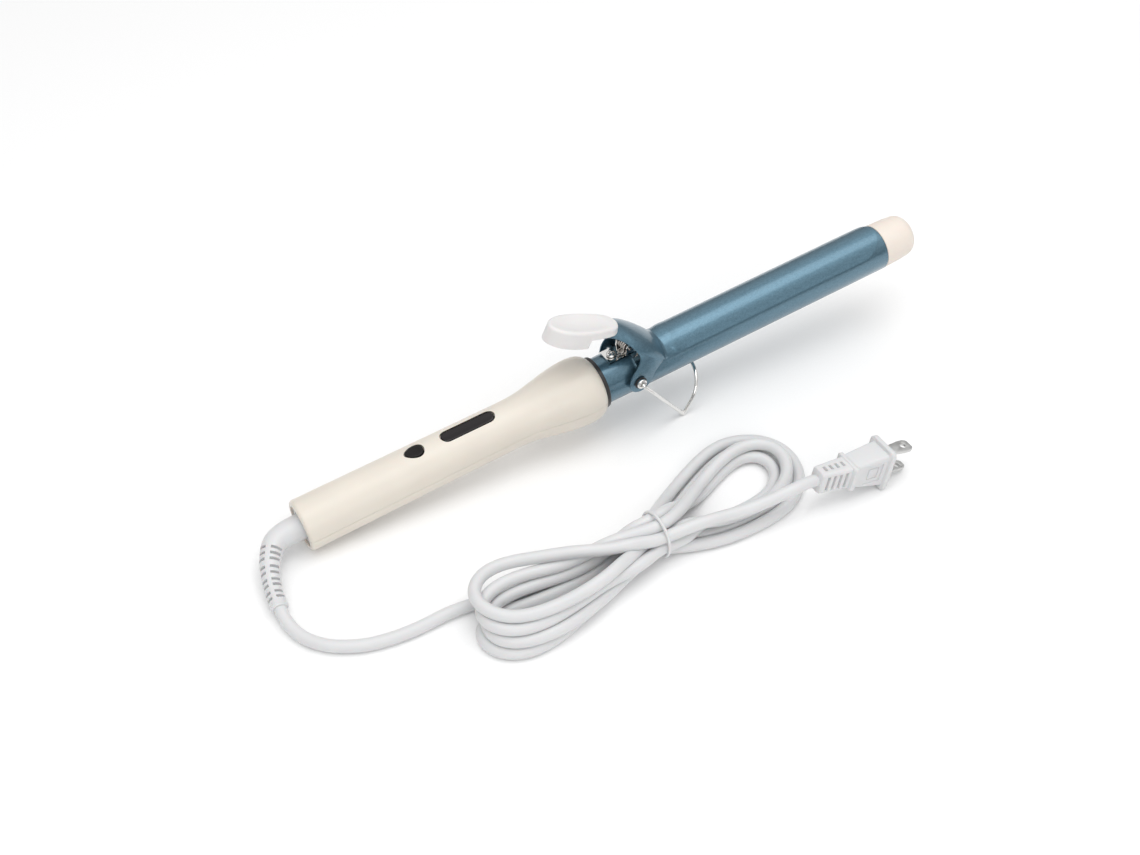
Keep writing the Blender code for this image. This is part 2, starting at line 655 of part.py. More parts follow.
def build_clip(iron, teal_sheet, rest_white):
    clip = add_empty("clip_pivot", iron, PIVOT)
    lever = add_part("clip_lever", sheet_solid(clip_sections(), SHEET), teal_sheet, clip, PIVOT)
    ears, holes = [], []
    for name, sign in (("near", -1), ("far", 1)):
        low, high = sorted((sign * EAR_Y[0], sign * EAR_Y[1]))
        ears.append(add_part(f"ear_{name}", prism(ear_outline(), low, high, 1), None, clip, PIVOT))
        hole = rod((PIVOT_X, sign * 12, PIVOT_Z), (PIVOT_X, sign * 18, PIVOT_Z), 1.65, 16)
        holes.append(add_part(f"ear_hole_{name}", hole, None, clip, PIVOT))
    combine(lever, ears, "UNION")
    combine(lever, holes, "DIFFERENCE")

    widths = ((0.0, 1.4), (1.6, 4.2), (5.0, 6.6), (12.0, 8.4), (22.0, 9.3), (30.0, 8.9), (36.0, 6.9),
              (39.6, 4.1), (REST_LENGTH, 1.6))
    across = 8
    rings = []
    places = (0.0, 1.2, 3.0, 6.0, 10.0, 15.0, 20.0, 20.6, 25.0, 30.0, 34.0, 37.0, 39.4, 40.5, REST_LENGTH)
    for along in places:
        half = interpolate(widths, along)
        skirt = REST_DEPTH if along > REST_STEP else FRONT_DEPTH
        ring = []
        for i in range(across + 1):
            y = half * (2 * i / across - 1)
            reach = math.hypot((along - 22.0) / 17.5, y / (REST_HALF_WIDTH - 1.8))
            ring.append(rest_point(along, y, 1.5 * max(0.0, 1 - reach * reach)))
        ring += [rest_point(along, y, skirt) for y in (half + 0.6, -half - 0.6)]
        rings.append(ring)
    rest = add_part("thumb_rest", loft(rings), rest_white, clip, PIVOT)

    def slanted(name, low, high):
        corners = []
        for along in (low[0], high[0]):
            plan = ((low[1], low[2]), (high[1], low[2]), (high[1], high[2]), (low[1], high[2]))
            corners.append([rest_point(along, y, depth) for y, depth in plan])
        return add_part(name, loft(corners), None, clip, PIVOT)

    lug = slanted("rest_lug", (REST_STEP - 9.5, -4.6, 6.9), (REST_STEP + 3.0, 4.6, 8.6))
    slot = slanted("rest_slot", (-3.0, -7.6, ROOF), (REST_STEP + 10.2, 7.6, 6.4))
    combine(rest, [lug], "UNION")
    combine(rest, [slot], "DIFFERENCE")


def screw(name, x, top, shank_end, head_r, shank_r, material, parent, sides=16):
    """A pan-head screw driven down along Z, with a cross recess."""
    profile = [(shank_end, 0.0), (shank_end, shank_r), (top - 1.5, shank_r), (top - 1.5, head_r),
               (top - 0.6, head_r), (top, head_r * 0.62), (top, 0.0)]
    bm = turned(profile, sides)
    bmesh.ops.rotate(bm, verts=bm.verts, matrix=Matrix.Rotation(math.radians(-90), 3, "Y"))
    bmesh.ops.translate(bm, verts=bm.verts, vec=(x, 0, 0))
    piece = add_part(name, bm, material, parent)
    slots = []
    for i, (dx, dy) in enumerate(((1.3, 0.25), (0.25, 1.3))):
        slot = block((x - dx, -dy, top - 0.7), (x + dx, dy, top + 1))
        slots.append(add_part(f"{name}_slot_{i}", slot, None, parent))
    combine(piece, slots, "DIFFERENCE")
    return piece


def build_bracket(iron, chrome, spring_steel):
    top = SADDLE_R + STEEL
    strap_profile = [(STRAP_X[0], SADDLE_R), (STRAP_X[0], top), (STRAP_X[1], top), (STRAP_X[1], SADDLE_R)]
    bracket = add_part("saddle_bracket", turned(strap_profile, 40, -98.0, 196.0), chrome, iron)
    low, high = BRACKET_X
    width = BRACKET_HALF_WIDTH
    plate = block((low, -width, SADDLE_R + 0.1), (high, width, top + 0.1))
    joined = [add_part("bracket_plate", plate, None, iron)]
    cut = []
    for name, sign in (("near", -1), ("far", 1)):
        y0, y1 = sorted((sign * (width - STEEL), sign * width))
        flange = block((low, y0, 11.5), (high, y1, top))
        joined.append(add_part(f"bracket_flange_{name}", flange, None, iron))
        y0, y1 = sorted((sign * 4.3, sign * 5.1))
        cheek = arc((PIN_X, PIN_Z), 2.0, 0.0, 180.0, 6) + [(PIN_X - 2.8, top), (PIN_X + 2.8, top)]
        joined.append(add_part(f"bracket_cheek_{name}", prism(cheek, y0, y1, 1), None, iron))
        boss = rod((PIVOT_X, sign * 13.0, PIVOT_Z), (PIVOT_X, sign * (EAR_Y[0] - GAP), PIVOT_Z), 3.4)
        joined.append(add_part(f"pivot_boss_{name}", boss, None, iron))
        bore = rod((PIVOT_X, sign * 10, PIVOT_Z), (PIVOT_X, sign * 20, PIVOT_Z), 1.6, 16)
        cut.append(add_part(f"pivot_bore_{name}", bore, None, iron))
    pin_bore = rod((PIN_X, -7, PIN_Z), (PIN_X, 7, PIN_Z), PIN_R + 0.15, 12)
    cut.append(add_part("pin_bore", pin_bore, None, iron))
    screw_bore = rod((BRACKET_SCREW_X, 0, 10), (BRACKET_SCREW_X, 0, 18), 1.6, 12)
    cut.append(add_part("bracket_screw_bore", screw_bore, None, iron))
    combine(bracket, joined, "UNION")
    combine(bracket, cut, "DIFFERENCE")
    screw("bracket_screw", BRACKET_SCREW_X, top + 0.1 + GAP + 1.5, 10.8, 2.5, 1.3, chrome, iron)
    add_part("spring_pin", rod((PIN_X, -5.9, PIN_Z), (PIN_X, 5.9, PIN_Z), PIN_R, 12), spring_steel, iron)

    # The torsion spring winds round its pin: one leg on the bracket, the other up under the lever.
    turns = 10
    pitch = 2 * SPRING_WIRE_R + 0.35
    total = COIL_TURNS * turns
    coil = []
    for i in range(total + 1):
        angle = math.tau * i / turns
        y = pitch * (i / turns - COIL_TURNS / 2)
        coil.append((PIN_X - COIL_R * math.cos(angle), y, PIN_Z + COIL_R * math.sin(angle)))
    first, last = coil[0], coil[-1]
    foot = [(first[0] - 0.4, first[1], 15.6), (first[0] - 1.6, first[1], 14.75),
            (first[0] - 4.5, first[1], 14.7)]
    arm = [(last[0] - 0.4, last[1], last[2] + 3.5), (last[0] - 1.4, last[1], last[2] + 9.4)]
    add_wire("torsion_spring", list(reversed(foot)) + coil + arm, SPRING_WIRE_R, spring_steel, iron)


def build_pivots(iron, chrome, black):
    """Two screws through the ears into the bracket's bosses. Each head has a socket for the stand."""
    washer_y = EAR_Y[1] + 0.25
    head_y = washer_y + 0.4 + 0.25
    face_y = head_y + 1.6
    for name, sign in (("near", -1), ("far", 1)):
        washer = [(washer_y, 1.7), (washer_y, 3.4), (washer_y + 0.4, 3.4), (washer_y + 0.4, 1.7)]
        body = [(13.3, 0.0), (13.3, 1.3), (head_y, 1.3), (head_y, 2.8), (face_y - 0.5, 2.8), (face_y, 2.3),
                (face_y, 1.35), (face_y - 1.3, 1.35), (face_y - 1.3, 0.0)]
        for part, profile, material in (("pivot_washer", washer, black), ("pivot_screw", body, chrome)):
            bm = turned(profile, 20)
            turn = Matrix.Rotation(math.radians(90 * sign), 3, "Z")
            bmesh.ops.rotate(bm, verts=bm.verts, matrix=turn)
            bmesh.ops.translate(bm, verts=bm.verts, vec=PIVOT)
            add_part(f"{part}_{name}", bm, material, iron)


def rear_height():
    """Height of the iron's axis at X = 0, with the handle's lower rim on the table."""
    inner = HANDLE_REAR_R - HANDLE_EDGE_R
    drop = (HANDLE_REAR_X + HANDLE_EDGE_R) * math.sin(IRON_TILT)
    return HANDLE_EDGE_R + inner * math.cos(IRON_TILT) - drop


def pivot_height():
    return rear_height() + PIVOT_X * math.sin(IRON_TILT) + PIVOT_Z * math.cos(IRON_TILT)


def build_stand(iron, chrome):
    """A wire bail: its feet stand on the table, and its arch bears on the barrel from below."""
    stand = add_empty("stand_pivot", iron, PIVOT)
    bend = 1.4
    bend_rise = 0.41 * bend
    steep = math.asin((pivot_height() - WIRE_R + bend_rise) / LEG_LENGTH) + IRON_TILT
    foot = Vector((PIVOT_X + LEG_LENGTH * math.cos(steep), 0, PIVOT_Z - LEG_LENGTH * math.sin(steep)))
    rise = (-BARREL_R - GAP - WIRE_R - foot.z) / math.sin(ARCH_ANGLE)
    arch_way = Vector((math.cos(ARCH_ANGLE), 0.0, math.sin(ARCH_ANGLE)))
    straight = rise - FOOT_Y
    socket_y = LEG_TOP_Y - 1.9
    half = [Vector((PIVOT_X, -socket_y, PIVOT_Z)), Vector((PIVOT_X, -LEG_TOP_Y, PIVOT_Z)),
            foot + Vector((0, -FOOT_Y, 0))]
    for y, up in arc((0.0, straight), FOOT_Y, 180.0, 100.0, 6):
        half.append(foot + arch_way * up + Vector((0, y, 0)))
    mirrored = [Vector((p.x, -p.y, p.z)) for p in reversed(half)]
    corners = half + mirrored
    path = rounded(corners[:4], bend)[:-1] + corners[3:-3] + rounded(corners[-4:], bend)[1:]
    return add_wire("wire_stand", path, WIRE_R, chrome, stand, PIVOT, roundness=2), stand


# ---------------------------------------------------------------- cord, hank and plug

def plug_point(along, across, up):
    """A point on the plug: along its axis from its rear end, to its left and up. Its nose dips."""
    turn = Matrix.Rotation(PLUG_YAW, 3, "Z") @ Matrix.Rotation(PLUG_DIP, 3, "Y")
    return Vector(PLUG_FACE) + turn @ Vector((along - PLUG_LENGTH, across, up))


def rounded_section(along, half_width, half_height, corner):
    """A rectangle with cut corners across the plug's axis."""
    w, h, c = half_width, half_height, corner
    corners = ((w - c, h), (w, h - c), (w, -h + c), (w - c, -h), (-w + c, -h), (-w, -h + c),
               (-w, h - c), (-w + c, h))
    return [plug_point(along, y, z) for y, z in corners]


def build_cord(table, pvc, tie_white):
    add_wire("cord_lead", smooth_path(LEAD_ROUTE, 7.0), CORD_R, pvc, table, roundness=2)
    outline = [(p.x, p.y) for p in smooth_path([(x, y, 0) for x, y in HANK_OUTLINE], 9.0, closed=True)]
    hank = prism(outline, HANK_Z[0], HANK_Z[1], 2)
    bmesh.ops.recalc_face_normals(hank, faces=hank.faces)
    rims = [edge for edge in hank.edges if abs(edge.verts[0].co.z - edge.verts[1].co.z) < 1e-6]
    bmesh.ops.bevel(hank, geom=rims, offset=2.5, segments=2, affect="EDGES", profile=0.5)
    add_part("cord_hank", hank, pvc, table)

    middle = (HANK_Z[0] + HANK_Z[1]) / 2
    half_height = (HANK_Z[1] - HANK_Z[0]) / 2
    rings = []
    for x, side in ((-0.5, 1.0), (-0.5, 0.0), (0.5, 0.0), (0.5, 1.0)):
        clear = GAP + TIE_BAND * side
        ring = []
        for quarter, (sy, sz) in enumerate(((1, 1), (-1, 1), (-1, -1), (1, -1))):
            centre = (sy * (TIE_HALF_WIDTH - 2.0), sz * (half_height - 2.0))
            for y, z in arc(centre, 2.0 + clear, 90.0 * quarter, 90.0 * quarter + 90.0, 3):
                ring.append((TIE_X + x * TIE_BAND, TIE_Y + y, middle + z))
        rings.append(ring)
    tie = loft(rings + rings[:1], closed_ends=False)
    bmesh.ops.remove_doubles(tie, verts=tie.verts, dist=1e-5)
    add_part("cord_tie", tie, tie_white, table)

    run = [(213.6, -105.7, 19.9), (219.0, -106.2, 20.4), plug_point(-6.0, 0, 0), plug_point(-GAP, 0, 0)]
    add_wire("cord_plug_run", smooth_path(run, 4.0), CORD_R, pvc, table, roundness=2)


def build_plug(table, pvc, nickel):
    """A moulded two-blade plug, on the front edge of its flange, with one blade wider than the other."""
    sections = ((0.0, 4.4, 6.2, 1.6), (17.6, 5.5, 6.5, 1.6), (18.2, 7.6, 7.1, 1.2), (19.8, 7.6, 7.1, 1.2),
                (20.3, 6.1, 6.7, 1.6), (38.4, 7.0, 9.6, 1.6), (39.0, 9.1, 11.9, 2.0),
                (PLUG_LENGTH, 9.1, 11.9, 2.0))
    body = add_part("plug_body", loft([rounded_section(*section) for section in sections]), pvc, table)
    sockets = []
    for name, sign, tip_width in (("upper", 1, WIDE_BLADE_WIDTH), ("lower", -1, BLADE_WIDTH)):
        z = sign * BLADE_SPACING / 2
        root, tip, half_t = BLADE_WIDTH / 2, tip_width / 2, BLADE_THICKNESS / 2
        end = PLUG_LENGTH + BLADE_LENGTH
        rings = []
        for along, w in ((PLUG_LENGTH - BLADE_ROOT, root), (PLUG_LENGTH + 5.0, root),
                         (end - 6.0, tip), (end - 2.0, tip), (end, tip - 1.6)):
            rings.append([plug_point(along, y, z + t) for y, t in
                          ((-w, -half_t), (w, -half_t), (w, half_t), (-w, half_t))])
        blade = add_part(f"plug_blade_{name}", loft(rings), nickel, table)
        low, high = plug_point(end - 4.2, 0, z - 3), plug_point(end - 4.2, 0, z + 3)
        hole = add_part(f"blade_hole_{name}", rod(low, high, 1.6, 12), None, table)
        combine(blade, [hole], "DIFFERENCE")
        rings = []
        for along in (PLUG_LENGTH - BLADE_ROOT - GAP, PLUG_LENGTH + 2.0):
            w, t = root + GAP, half_t + GAP
            rings.append([plug_point(along, y, z + v) for y, v in ((-w, -t), (w, -t), (w, t), (-w, t))])
        sockets.append(add_part(f"blade_socket_{name}", loft(rings), None, table))
    combine(body, sockets, "DIFFERENCE")


# ---------------------------------------------------------------- the whole iron

def middle_of_iron():
    """Where the middle of the tipped iron lies along the table."""
    slope, level = math.sin(IRON_TILT), math.cos(IRON_TILT)
    rim = HANDLE_REAR_X + HANDLE_EDGE_R
    rearmost = rim * level - (HANDLE_REAR_R - HANDLE_EDGE_R) * slope - HANDLE_EDGE_R
    dome_r = TIP_R - TIP_TAPER - TIP_EDGE_R
    foremost = (IRON_END - TIP_EDGE_R) * level + dome_r * slope + TIP_EDGE_R
    return (rearmost + foremost) / 2


def main():
    clear_scene()
    cream = finish("cream_plastic", (0.80, 0.74, 0.65), 0.38)
    tip_cream = finish("tip_plastic", (0.89, 0.80, 0.72), 0.45)
    teal = finish("teal_pearl_enamel", (0.10, 0.22, 0.30), 0.28, 0.7)
    teal_sheet = finish("teal_clip_enamel", (0.09, 0.18, 0.25), 0.33, 0.6)
    black = finish("black_heat_plastic", (0.03, 0.028, 0.03), 0.45)
    window_black = finish("display_smoke", (0.03, 0.026, 0.028), 0.12)
    button_black = finish("button_black", (0.02, 0.018, 0.018), 0.35)
    rest_white = finish("thumb_rest_white", (0.86, 0.84, 0.82), 0.40)
    chrome = finish("chrome_plate", (0.75, 0.74, 0.72), 0.12, 1.0)
    spring_steel = finish("spring_steel", (0.55, 0.53, 0.50), 0.25, 1.0)
    screw_steel = finish("screw_zinc", (0.62, 0.62, 0.62), 0.30, 1.0)
    white = finish("swivel_white", (0.82, 0.83, 0.84), 0.40)
    pvc = finish("cord_pvc", (0.80, 0.80, 0.80), 0.42)
    tie_white = finish("tie_white", (0.84, 0.84, 0.84), 0.45)
    nickel = finish("blade_nickel", (0.60, 0.60, 0.60), 0.25, 1.0)
    brass = finish("contact_brass", (0.75, 0.58, 0.28), 0.30, 1.0)
    insulator = finish("phenolic_brown", (0.16, 0.09, 0.05), 0.60)
    aluminium = finish("heater_aluminium", (0.70, 0.70, 0.72), 0.40, 1.0)
    ceramic = finish("heater_ceramic", (0.75, 0.70, 0.62), 0.70)
    board_green = finish("board_green", (0.03, 0.20, 0.08), 0.45)
    dark = finish("component_black", (0.04, 0.04, 0.04), 0.50)
    lead_grey = finish("lead_silicone", (0.65, 0.65, 0.62), 0.60)

    shift = -middle_of_iron()
    iron = add_empty("iron_axis", None, (shift, 0.0, rear_height()), IRON_TILT)
    table = add_empty("table_frame", None, (shift, 0.0, 0.0))
    build_handle(iron, cream, screw_steel)
    build_controls(iron, window_black, button_black, board_green, dark, screw_steel, white)
    build_barrel(iron, teal, black, insulator, aluminium, ceramic, tip_cream, screw_steel, lead_grey)
    build_swivel(iron, table, white, brass, insulator, lead_grey, pvc)
    build_clip(iron, teal_sheet, rest_white)
    build_bracket(iron, chrome, spring_steel)
    build_pivots(iron, chrome, black)
    build_stand(iron, chrome)
    build_cord(table, pvc, tie_white)
    build_plug(table, pvc, nickel)


main()
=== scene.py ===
"""The looks of the curling iron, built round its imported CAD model.

Sizes are in millimetres, in the two frames the iron is designed in. The iron's own frame has X along
the barrel from just behind the handle, Y to the left and Z up through the clip. The table's frame has
the same X start, with Z up from the table top. Both are worked out from the cord swivel's joint.
"""

import json
import math

import bmesh
import bpy
import numpy as np
from mathutils import Matrix, Vector

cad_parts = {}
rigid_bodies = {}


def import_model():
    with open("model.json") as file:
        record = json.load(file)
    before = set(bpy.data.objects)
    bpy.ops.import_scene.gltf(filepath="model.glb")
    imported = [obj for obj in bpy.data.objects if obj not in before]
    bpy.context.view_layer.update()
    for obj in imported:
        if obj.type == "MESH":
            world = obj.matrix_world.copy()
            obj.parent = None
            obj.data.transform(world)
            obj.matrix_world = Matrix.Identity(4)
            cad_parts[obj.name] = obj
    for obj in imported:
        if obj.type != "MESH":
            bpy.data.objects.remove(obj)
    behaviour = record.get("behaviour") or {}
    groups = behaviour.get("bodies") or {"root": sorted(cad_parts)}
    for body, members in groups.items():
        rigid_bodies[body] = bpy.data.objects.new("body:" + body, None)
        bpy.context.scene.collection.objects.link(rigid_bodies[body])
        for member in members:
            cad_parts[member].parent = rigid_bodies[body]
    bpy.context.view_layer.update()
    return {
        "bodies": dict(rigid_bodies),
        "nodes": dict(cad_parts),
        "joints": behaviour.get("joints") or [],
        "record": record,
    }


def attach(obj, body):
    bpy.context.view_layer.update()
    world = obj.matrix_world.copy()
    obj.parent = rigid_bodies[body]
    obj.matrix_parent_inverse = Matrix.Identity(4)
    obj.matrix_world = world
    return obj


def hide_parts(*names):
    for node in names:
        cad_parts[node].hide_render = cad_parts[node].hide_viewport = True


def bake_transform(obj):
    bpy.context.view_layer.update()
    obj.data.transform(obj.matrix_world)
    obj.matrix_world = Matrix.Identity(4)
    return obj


MM = 0.001

# Handle. Its stations are (place along the iron, radius).
HANDLE_REAR_X, HANDLE_FRONT_X = 4.7, 170.3
HANDLE_REAR_R, HANDLE_EDGE_R = 13.3, 2.0
REAR_BORE_R = 10.5
HANDLE_WALL = 1.8
HANDLE_LIP_R = 13.9
HANDLE_NECK_X = 118.0
HANDLE_STATIONS = (
    (6.2, 13.3), (118.0, 12.65), (124.0, 12.75), (131.0, 13.3), (140.0, 15.0),
    (149.0, 16.75), (156.0, 17.6), (161.5, 17.8), (166.0, 17.2), (168.7, 16.0), (170.3, 14.5),
)
HANDLE_SCREW_X = (30.0, 139.0)
SEAM = 0.14
WINDOW_X, WINDOW_LENGTH, WINDOW_WIDTH = 98.6, 29.2, 6.8
BUTTON_X, BUTTON_LENGTH, BUTTON_WIDTH = 68.8, 9.6, 7.6
OPENING_GAP = 0.3
OPENING_BEVEL = 0.3

# Barrel and clip
BARREL_R, BARREL_WALL = 12.5, 0.9
BARREL_X = (152.0, 350.2)
IRON_END = 371.9
TIP_R, TIP_EDGE_R = 12.4, 6.5
PIVOT_X, PIVOT_Z = 189.4, 2.3
SHEET = 0.7
PLATE_R = BARREL_R + 0.3 + SHEET / 2
PLATE_HALF_ANGLE = math.radians(62.0)
MARGIN_X, MARGIN_ANGLE, MARGIN_LEAN = 216.0, math.radians(48.0), math.radians(2.5)
PLATE_X = (208.5, 348.5)
TONGUE_LENGTH = 14.5
# How far an ear's middle is from the iron's middle plane, up its height and along to its front.
EAR_Y = 15.0
EAR_TOP_BEND = ((15.0, EAR_Y), (18.4, 14.95), (23.0, 13.4), (26.4, 11.0))
EAR_FRONT_BEND = ((196.0, EAR_Y), (199.5, 14.95), (204.5, 14.0), (207.0, 12.5))
REST_SLOPE = math.radians(24.7)
REST_FRONT = (187.3, 34.9)
REST_LENGTH = 41.0
REST_STEP = 20.3
REST_DEPTH, FRONT_DEPTH = 9.2, 4.4
TONGUE_DEPTH = 3.0

# Bracket, spring and stand
BRACKET_X = (178.5, 195.0)
BRACKET_SCREW_X = 182.1
PIN_X, PIN_Z = 190.6, 17.2
COIL_R, SPRING_WIRE_R, COIL_TURNS = 2.3, 0.55, 4
WIRE_R = 1.05
LEG_LENGTH, LEG_TOP_Y, FOOT_Y = 43.6, 19.0, 16.5
ARCH_ANGLE = math.radians(54.2)

# Cord, in the table's frame
CORD_R = 3.1
RELAX_STEPS, CALM_STEPS = 160, 16
BOOT_ROUTE = (
    (-3.5, -0.5, 12.3), (-9.8, -2.8, 11.4), (-15.0, -9.6, 9.8), (-18.6, -18.1, 7.9),
    (-20.9, -27.5, 6.3), (-22.1, -36.6, 5.2),
)
# The boot's radius at distances from its start inside the handle.
BOOT_RADII = ((0.0, 6.6), (14.0, 6.4), (22.0, 5.9), (30.0, 5.3), (38.0, 4.7), (52.0, 4.2), (68.0, 4.1))
LEAD_ROUTE = (
    (-22.05, -35.4, 5.35), (-22.18, -37.2, 5.14), (-22.35, -39.0, 4.94), (-22.2, -44.5, 4.2),
    (-20.6, -52.0, 3.3), (-17.0, -59.4, 3.2), (-11.4, -65.7, 3.2), (-5.0, -70.2, 3.2),
    (3.6, -74.2, 3.2), (14.5, -76.7, 3.2), (25.3, -77.6, 3.2), (36.0, -77.3, 3.2), (46.7, -76.6, 3.2),
    (56.0, -77.0, 3.2), (66.0, -80.0, 3.2), (80.0, -83.5, 3.2), (96.0, -84.5, 3.2), (114.0, -85.0, 3.2),
    (131.0, -85.5, 5.5),
)
TIE_X, TIE_Y, TIE_Z = 149.5, -91.4, 13.0
TIE_WIRE_R = 0.8
STRAND_RING_R = 7.5
# The hank's loops in the order they are wound, right and left of the tie by turns. Each starts and
# ends near the tie.
HANK_LOOPS = (
    ((160, -81.5, 7), (176, -73.5, 3.4), (193, -65, 3.1), (208, -58.5, 3.1), (222, -55.5, 3.1),
     (233, -59, 3.1), (238.5, -69, 3.1), (237, -81.5, 3.1), (230, -91.5, 3.1), (217.5, -97, 3.1),
     (203, -97.5, 3.1), (188, -97.5, 3.1), (172, -95.5, 4), (160, -91.5, 5.2)),
    ((140, -91, 5.2), (125, -98.5, 3.6), (108, -106.5, 3.1), (97, -110.5, 3.1), (82, -115, 3.1),
     (69, -116.5, 3.1), (58, -113.5, 3.1), (51, -106.5, 3.1), (49.2, -98.5, 3.1), (51.8, -92, 3.1),
     (57.5, -88.4, 3.1), (65, -87.8, 3.1), (72, -90, 3.1), (86, -91, 3.1), (104, -91, 3.4),
     (124, -89, 6), (138, -85.5, 11.5)),
    ((160, -77, 12), (171, -67.5, 5), (187, -58.5, 3.1), (205, -50.5, 3.1), (217.6, -47.6, 3.1),
     (228, -50, 3.1), (236.5, -55.5, 3.1), (242, -63.5, 3.1), (243, -73, 3.1), (239.5, -83.5, 3.1),
     (232.5, -93, 3.1), (223, -100, 3.1), (213, -103, 3.1), (203, -104, 3.1), (190, -103.8, 3.1),
     (175, -101, 3.6), (162, -97, 4.8)),
    ((138, -98.5, 7), (120, -104, 8.3), (102, -111, 8.3), (86, -115, 8.6), (72, -115, 8.8),
     (60, -113, 8.8), (53, -106, 9), (51.8, -98, 9), (54.8, -91.5, 9.2), (60.8, -87.4, 9.3),
     (69, -85.8, 9.4), (80, -86, 9.3), (96, -87.5, 9), (114, -89, 10.5), (134, -87.5, 16)),
    ((162, -84, 17), (174, -78.5, 9), (185, -73.5, 4), (200, -66.5, 3.2), (213, -61, 3.4),
     (223, -60.2, 3.6), (230.6, -63.6, 3.6), (233.8, -71, 3.6), (232, -79.5, 3.6), (225.5, -86.5, 3.4),
     (214, -91, 3.2), (200, -93, 3.1), (187, -94, 3.4), (174, -95, 5), (162, -98, 8.5)),
    ((138, -101.5, 12), (118, -105, 13.3), (94, -110, 13.5), (76, -113, 13.8), (62, -111, 14),
     (53.6, -104, 14.2), (51.4, -96.5, 14.4), (53.8, -89, 14.6), (59.5, -84, 14.7), (68, -82, 14.8),
     (82, -82.5, 14.6), (98, -86, 14.4), (116, -89, 15.5), (135, -91.5, 19)),
    ((162, -88, 18.5), (174, -80.5, 12.5), (190, -70.5, 9.6), (208, -62, 9.3), (222, -59, 9.3),
     (232.5, -61.5, 9.3), (238, -70, 9.3), (235, -82, 9.3), (227.5, -91, 9.3), (216, -96.5, 9.3),
     (201, -99, 9.4), (184, -98, 9.8), (168, -95.5, 11.5), (159, -93.5, 13)),
    ((140, -95, 14.5), (128, -101, 17), (115, -106.5, 18.5), (95, -110, 18.8), (79, -111, 19),
     (66, -109, 19.2), (58, -104, 19.4), (52.4, -96, 19.5), (51.8, -87.5, 19.6), (55, -80.8, 19.7),
     (61, -76.2, 19.6), (70, -74.5, 19.4), (83, -77, 18.8), (104, -86, 18.6), (127, -93, 18.5),
     (138, -96, 18)),
)
# Where each pass of the cord goes through the tie, in degrees round its middle from the left, or None
# for the one in the middle.
TIE_PLACES = (-22.5, -67.5, 22.5, 247.5, 67.5, 202.5, 112.5, None, 157.5)
PLUG_RUN = ((162, -98.5, 17.5), (176, -99.5, 16.5), (190, -102, 15.8), (202, -104.5, 17.5),
            (213.6, -105.7, 19.9), (219.0, -106.2, 20.4))
PLUG_FACE = (273.9, -106.4, 11.95)
PLUG_YAW, PLUG_DIP = math.radians(-1.0), math.radians(9.8)
PLUG_LENGTH = 41.5
BLADE_Z = 6.35

# The photo's camera, in metres and radians
CAMERA_PLACE = (-0.33591, -0.51449, 0.57036)
CAMERA_TURN = (math.radians(46.65), 0.0, math.radians(-30.62))


# -------------------- shapes, in millimetres

def arc(centre, radius, start, end, steps):
    """Points on a circle from one angle to another, in degrees, both ends included."""
    points = []
    for i in range(steps + 1):
        angle = math.radians(start + (end - start) * i / steps)
        points.append((centre[0] + radius * math.cos(angle), centre[1] + radius * math.sin(angle)))
    return points


def turned(profile, segments=160, first=0.0, sweep=360.0):
    """Turns a closed profile of (x, radius) about X. Angles start at the top, in degrees."""
    bm = bmesh.new()
    whole = sweep == 360.0
    columns = []
    for i in range(segments if whole else segments + 1):
        angle = math.radians(first + sweep * i / segments)
        side, up = -math.sin(angle), math.cos(angle)
        columns.append([bm.verts.new((x, r * side, r * up)) for x, r in profile])
    count = len(profile)
    for i in range(segments):
        here, there = columns[i], columns[(i + 1) % len(columns)]
        for j in range(count):
            k = (j + 1) % count
            if profile[j][1] or profile[k][1]:
                bm.faces.new((here[j], here[k], there[k], there[j]))
    if not whole:
        bm.faces.new(columns[0])
        bm.faces.new(columns[-1])
    bmesh.ops.remove_doubles(bm, verts=bm.verts, dist=1e-5)
    return bm


def block(corner, opposite):
    """A box between two opposite corners, given in any order."""
    bm = bmesh.new()
    low = Vector([min(pair) for pair in zip(corner, opposite)])
    high = Vector([max(pair) for pair in zip(corner, opposite)])
    matrix = Matrix.Translation((low + high) / 2) @ Matrix.Diagonal((*(high - low), 1.0))
    bmesh.ops.create_cube(bm, size=1.0, matrix=matrix)
    return bm


def rod(start, end, radius):
    start, end = Vector(start), Vector(end)
    turn = (end - start).to_track_quat("Z", "Y").to_matrix().to_4x4()
    bm = bmesh.new()
    bmesh.ops.create_cone(
        bm, cap_ends=True, segments=40, radius1=radius, radius2=radius,
        depth=(end - start).length, matrix=Matrix.Translation((start + end) / 2) @ turn,
    )
    return bm


def prism(outline, low, high, across):
    """Extrudes a closed outline along one axis, where across is that axis: 0, 1 or 2."""
    rings = []
    for level in (low, high):
        ring = []
        for point in outline:
            place = list(point)
            place.insert(across, level)
            ring.append(place)
        rings.append(ring)
    return loft(rings)


def loft(rings):
    """Joins rings with the same number of points, each closed on itself, and closes both ends."""
    bm = bmesh.new()
    rows = [[bm.verts.new(point) for point in ring] for ring in rings]
    for here, there in zip(rows, rows[1:]):
        for i in range(len(here)):
            j = (i + 1) % len(here)
            bm.faces.new((here[i], here[j], there[j], there[i]))
    bm.faces.new(rows[0])
    bm.faces.new(rows[-1])
    bmesh.ops.recalc_face_normals(bm, faces=bm.faces)
    return bm


